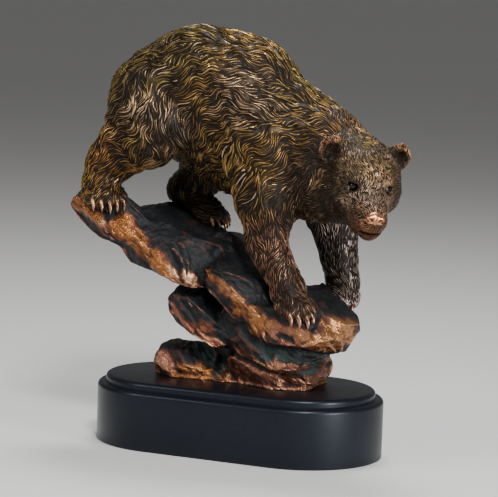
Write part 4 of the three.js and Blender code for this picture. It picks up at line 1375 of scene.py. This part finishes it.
def patina(name, low, high, gloss, specular=0.2, cloudy=0.35):
    """Brown-black in the grooves, with gold, copper or rose rubbed through on the ridges."""
    material, n, shader, cloud, fleck = new_material(name, 55.0, 500.0)
    tone = n.painted("tone")
    tint = n.painted("tint", "Color")
    bright = n.mix(n.ramp(tone, 0.25, 1.0), n.mix(1.0, tint, DULLED, "MULTIPLY"), tint)
    bright = n.mix(n.ramp(tone, 0.86, 1.0), bright, PALE_TIP_AND_HIGHLIGHT)
    keen = n.sum("MULTIPLY", n.painted("crest"), n.plus(0.75, tone, 0.5))
    ridge = n.plus(keen, n.sum("SUBTRACT", cloud, 0.5), cloudy)
    colour, mask = rub_through(n, GROOVE, bright, ridge, low, high)
    n.feed(
        shader, Base_Color=colour, Metallic=n.sum("MULTIPLY", mask, 0.92),
        Roughness=n.plus(gloss, fleck, 0.15), Specular_IOR_Level=specular,
    )
    n.bump(shader, fleck, 0.15, 0.0003)
    return material


def rock_patina():
    """Near-black tops, amber and copper rubbed through along the lips, paler on sharp edges."""
    material, n, shader, cloud, fleck = new_material("rock_patina", 38.0, 260.0)
    edge = n.painted("edge")
    bare = n.painted("bare")
    layers = n.grain(45.0, 6.0)
    pits = n.noise(110.0, 6.0, 0.65)
    grit = n.sum("ADD", n.sum("SUBTRACT", pits, 0.5), n.sum("SUBTRACT", layers, 0.5))
    smoke = n.plus(n.sum("MULTIPLY", n.sum("SUBTRACT", cloud, 0.5), 0.12), grit, 0.9)
    worn = n.sum("MULTIPLY", edge, n.plus(0.3, bare, 0.5))
    warm = n.sum("ADD", n.sum("ADD", bare, smoke), worn, clamp=True)
    deep = n.mix(n.ramp(warm, 0.4, 0.9), DEEP_RUST, n.painted("tint", "Color"))
    metal = n.mix(n.ramp(n.sum("ADD", edge, grit), 0.7, 1.3), deep, PALE_EDGE)
    dark = n.mix(n.painted("moss"), n.mix(cloud, *ROCK_DARKS), ROCK_GREEN)
    colour, mask = rub_through(n, dark, metal, warm, 0.12, 0.8)
    dull = n.sum("SUBTRACT", 0.42, n.sum("MULTIPLY", mask, 0.2))
    n.feed(
        shader, Base_Color=colour, Metallic=n.sum("MULTIPLY", mask, 0.85),
        Roughness=n.plus(dull, fleck, 0.12), Specular_IOR_Level=0.2,
    )
    n.bump(shader, n.plus(pits, layers, 1.4), 0.8, 0.0022)
    return material


def claw_copper():
    """Rubbed copper in darker and brighter clouds."""
    material, n, shader, cloud, fleck = new_material("claw_copper", 160.0, 700.0)
    n.feed(shader, Base_Color=n.mix(cloud, *CLAW_COPPERS), Metallic=0.9)
    n.feed(shader, Roughness=n.plus(0.28, fleck, 0.12))
    n.bump(shader, fleck, 0.2, 0.0003)
    return material


def eye_black():
    material, n, shader, cloud, fleck = new_material("eye_black", 300.0, 900.0)
    n.feed(shader, Base_Color=n.mix(cloud, *EYE_BLACKS), Specular_IOR_Level=0.3)
    n.feed(shader, Roughness=n.plus(0.07, fleck, 0.06))
    return material


def black_lacquer():
    """Black satin lacquer with faint brush waves and a little dust."""
    material, n, shader, cloud, fleck = new_material("black_lacquer", 14.0, 650.0)
    dust = n.sum("MULTIPLY", fleck, n.sum("MULTIPLY", cloud, 0.12))
    n.feed(shader, Base_Color=n.mix(dust, *LACQUER_BLACKS), Roughness=n.plus(0.32, cloud, 0.1))
    n.feed(shader, Coat_Weight=0.08, Coat_Roughness=0.2, Specular_IOR_Level=0.25)
    n.feed(shader, Specular_Tint=(0.75, 0.85, 1.0, 1))
    n.bump(shader, n.noise(120.0, 2.0, 0.5), 0.05, 0.0006)
    return material


# Making the pieces

def near_head(points, grow=0.0):
    return np.linalg.norm(points - HEAD_BALL, axis=1) < HEAD_BALL_RADIUS + grow


def ear_hollow(points):
    """1 inside the hollow of an ear, falling to 0 at its rim."""
    q = from_head(points)
    one_side = np.abs(q) * (0, 1, 0) + q * (1, 0, 1)
    away = np.linalg.norm((one_side - EAR_HOLLOW) / EAR_HOLLOW_SIZE, axis=1)
    return smoothstep(1.15, 0.95, away)


def coat_skin(mesh, clay, raised):
    """Paints a skin mesh with its crest, tone and tint."""
    place, _ = points_of(mesh)
    height = clay.read(place, raised)
    _, length, tint = coat_over(place)
    short = smoothstep(0.4, 0.08, length)
    bare = smoothstep(0.1, 0.03, length)
    stand = np.clip(swell(mesh, 14) / 0.8, -1, 1)
    crest = 0.05 + np.clip(height / LOCK_HEIGHT, 0, 1) * 0.2 + short * (0.06 + 0.2 * stand)
    crest = (crest + bare * 0.3) * (1 - 0.9 * ear_hollow(place))
    paint(mesh, crest=crest, tone=ripple(place, 5, 9), tint=tint)


def make_bear(fur, skin):
    body_clay = bear_clay(BEAR_BLOCK)
    locks = grow_locks(body_clay)
    raised = comb(body_clay, locks)
    grown = grow_strands(body_clay, raised, lambda p: ~near_head(p))
    body_clay.keep_ball(HEAD_BALL, HEAD_BALL_RADIUS - HEAD_LAP, outside=True)
    mesh = thinned("bear_skin", *body_clay.surface(), SKIN_TRIANGLES)
    coat_skin(mesh, body_clay, raised)
    piece(mesh, skin)
    x = grown["place"][:, 0, 0]
    for name, (start, end) in FUR_REGIONS.items():
        some = {key: value[(x >= start) & (x < end)] for key, value in grown.items()}
        piece(strand_mesh(name, some), fur)

    head = bear_clay(HEAD_BLOCK)
    near = near_head(locks["line"][:, 0], 26)
    raised = comb(head, {key: value[near] for key, value in locks.items()})
    grown = grow_strands(head, raised, near_head)
    head.keep_ball(HEAD_BALL, HEAD_BALL_RADIUS)
    mesh = thinned("bear_head", *head.surface(), HEAD_TRIANGLES)
    coat_skin(mesh, head, raised)
    piece(mesh, skin)
    piece(strand_mesh("fur_face", grown), fur)


def make_small_parts(horn, nose, eye):
    for name, paw in PAWS.items():
        piece(mesh_of("claws_" + name, *claws(paw)), horn)
    f, l, u = EYE
    for name, side in (("eye_far", 1), ("eye_near", -1)):
        piece(mesh_of(name, *ball(on_head(f, side * l, u), EYE_RADIUS)), eye)
    mesh = mesh_of("nose_pad", *nose_clay().surface())
    stand = np.clip(swell(mesh, 14) / 0.4, -1, 1)
    tint = np.tile(TINTS["ember"], (len(stand), 1))
    paint(mesh, crest=0.7 + 0.6 * stand, tone=np.full(len(stand), 0.8), tint=tint)
    piece(mesh, nose)


def near_line(points, line, wide, fray):
    """How much each point belongs to a frayed band along a line, from 0 to 1."""
    line = np.array(line, float)
    near = np.full(len(points), FAR_AWAY)
    for a, b in zip(line[:-1], line[1:]):
        t = np.clip((points - a) @ (b - a) / ((b - a) @ (b - a)), 0, 1)
        near = np.minimum(near, np.linalg.norm(points - a - t[:, None] * (b - a), axis=1))
    return smoothstep(2.4, 0.5, near / wide + fray)


def bare_lips(points):
    """How bare the metal is along the lips, its tint there, and how much verdigris there is."""
    share = np.zeros(len(points))
    tint = np.zeros((len(points), 3))
    bare = np.zeros(len(points))
    fray = 0.7 * (ripple(points, 9, 31) - 0.5)
    for name, wide, line in LIPS:
        here = near_line(points, line, wide, fray)
        bare = np.maximum(bare, here)
        share += here ** 2
        tint += (here ** 2)[:, None] * np.array(TINTS[name])
    moss = np.max([near_line(points, line, wide, fray) for wide, line in VERDIGRIS], axis=0)
    little = 1e-3
    rest = little * np.array(TINTS["amber"])
    return bare, (tint + rest) / (share + little)[:, None], moss


def stone_rims(points, out):
    """How far toward the steep outer edge of its stone each point is, from 0 to 1."""
    nearest = np.full(len(points), FAR_AWAY)
    rim = np.zeros(len(points))
    for at, size, axes, _, _ in laid_stones():
        q = (points - at) @ axes.T / size
        depth = np.abs(np.linalg.norm(q, axis=1) - 1)
        closer = depth < nearest
        nearest = np.where(closer, depth, nearest)
        rim = np.where(closer, np.hypot(q[:, 0], q[:, 1]) - 0.35 * q[:, 2], rim)
    steep = smoothstep(0.75, 0.2, out[:, 2]) * smoothstep(-0.9, -0.3, out[:, 2])
    return smoothstep(0.75, 1.1, rim) * steep


def make_rock(material):
    mesh = rock_mesh()
    place, out = points_of(mesh)
    edge = np.clip(swell(mesh, 8) / 0.7, -1, 1)
    bare, tint, moss = bare_lips(place)
    hidden = smoothstep(-12, 6, place[:, 1])
    bare = np.maximum(bare, stone_rims(place, out) * (0.12 + 0.75 * hidden))
    paint(mesh, edge=edge, bare=bare, moss=0.5 * moss * smoothstep(0.5, -0.2, edge), tint=tint)
    piece(mesh, material)


def make_plinth(material):
    mesh = plinth_mesh()
    piece(mesh, material, "plinth")
    mesh.set_sharp_from_angle(angle=math.radians(SHARP_ANGLE))


# Studio: the camera's angles in degrees, how far out and up its aim is in millimetres, its
# distance in metres, and its focal length in picture widths; lights: place and size in metres,
# and power in watts; and half the floor's size in metres

CAMERA_TURN, CAMERA_RISE, CAMERA_ROLL = 23.78, 6.863, 1.924
CAMERA_AIM = (3.586, 140.55)
CAMERA_AWAY = 1.6
CAMERA_FOCUS = 2284 / 498
SENSOR = 36
LIGHTS = {
    "key": ((0.6, -0.95, 1.2), (0.3, 0.3), 25),
    "side": ((1.35, -0.5, 0.3), (0.35, 0.35), 21),
    "fill": ((-0.9, -1.0, 0.8), (0.4, 0.6), 8),
    "top": ((-0.1, 0.4, 1.3), (0.4, 0.3), 12),
}
LIGHT_AIM = (0, 0, 0.16)
FLOOR_REACH = 100


def camera():
    """The photograph's viewing angle: turned and raised round a point on the sculpture's axis."""
    turn, rise, roll = (math.radians(a) for a in (CAMERA_TURN, CAMERA_RISE, CAMERA_ROLL))
    out, height = CAMERA_AIM
    aim = vec(out * math.cos(turn), out * math.sin(turn), height) * MM
    back = vec(math.sin(turn) * math.cos(rise), -math.cos(turn) * math.cos(rise), math.sin(rise))
    right = vec(math.cos(turn), math.sin(turn), 0)
    up = np.cross(back, right)
    side = right * math.cos(roll) + up * math.sin(roll)
    top = up * math.cos(roll) - right * math.sin(roll)
    data = bpy.data.cameras.new("camera")
    data.sensor_width = SENSOR
    data.lens = CAMERA_FOCUS * SENSOR
    obj = in_scene("camera", data)
    place = np.eye(4)
    place[:3] = np.stack([side, top, back, aim + back * CAMERA_AWAY], 1)
    obj.matrix_world = Matrix(place.tolist())
    bpy.context.scene.camera = obj


def soft_light(name, place, size, power):
    data = bpy.data.lights.new(name, "AREA")
    data.shape = "RECTANGLE"
    data.size, data.size_y = size
    data.energy = power
    obj = in_scene(name, data)
    obj.location = place
    aim = Vector(LIGHT_AIM) - Vector(place)
    obj.rotation_euler = aim.to_track_quat("-Z", "Y").to_euler()


def floor():
    mesh = bpy.data.meshes.new("floor")
    signs = ((-1, -1), (1, -1), (1, 1), (-1, 1))
    corners = [(x * FLOOR_REACH, y * FLOOR_REACH, 0) for x, y in signs]
    mesh.from_pydata(corners, [], [(0, 1, 2, 3)])
    material = bpy.data.materials.new("pale_floor")
    material.use_nodes = True
    shader = material.node_tree.nodes["Principled BSDF"]
    Nodes(material.node_tree).feed(shader, Base_Color=(0.62, 0.61, 0.60, 1), Roughness=0.7)
    mesh.materials.append(material)
    in_scene("floor", mesh)


def studio():
    world = bpy.data.worlds.new("studio")
    world.use_nodes = True
    backdrop = world.node_tree.nodes["Background"]
    Nodes(world.node_tree).feed(backdrop, Color=(0.6, 0.6, 0.6, 1), Strength=0.3)
    bpy.context.scene.world = world
    for name, settings in LIGHTS.items():
        soft_light(name, *settings)
    floor()


camera()
studio()
make_bear(
    fur=patina("fur_patina", 0.25, 0.85, 0.3),
    skin=patina("skin_patina", 0.22, 1.0, 0.45, 0.1, 0.08),
)
make_small_parts(
    horn=claw_copper(), nose=patina("nose_patina", 0.1, 0.8, 0.24, 0.3, 0.1), eye=eye_black(),
)
make_rock(rock_patina())
make_plinth(black_lacquer())
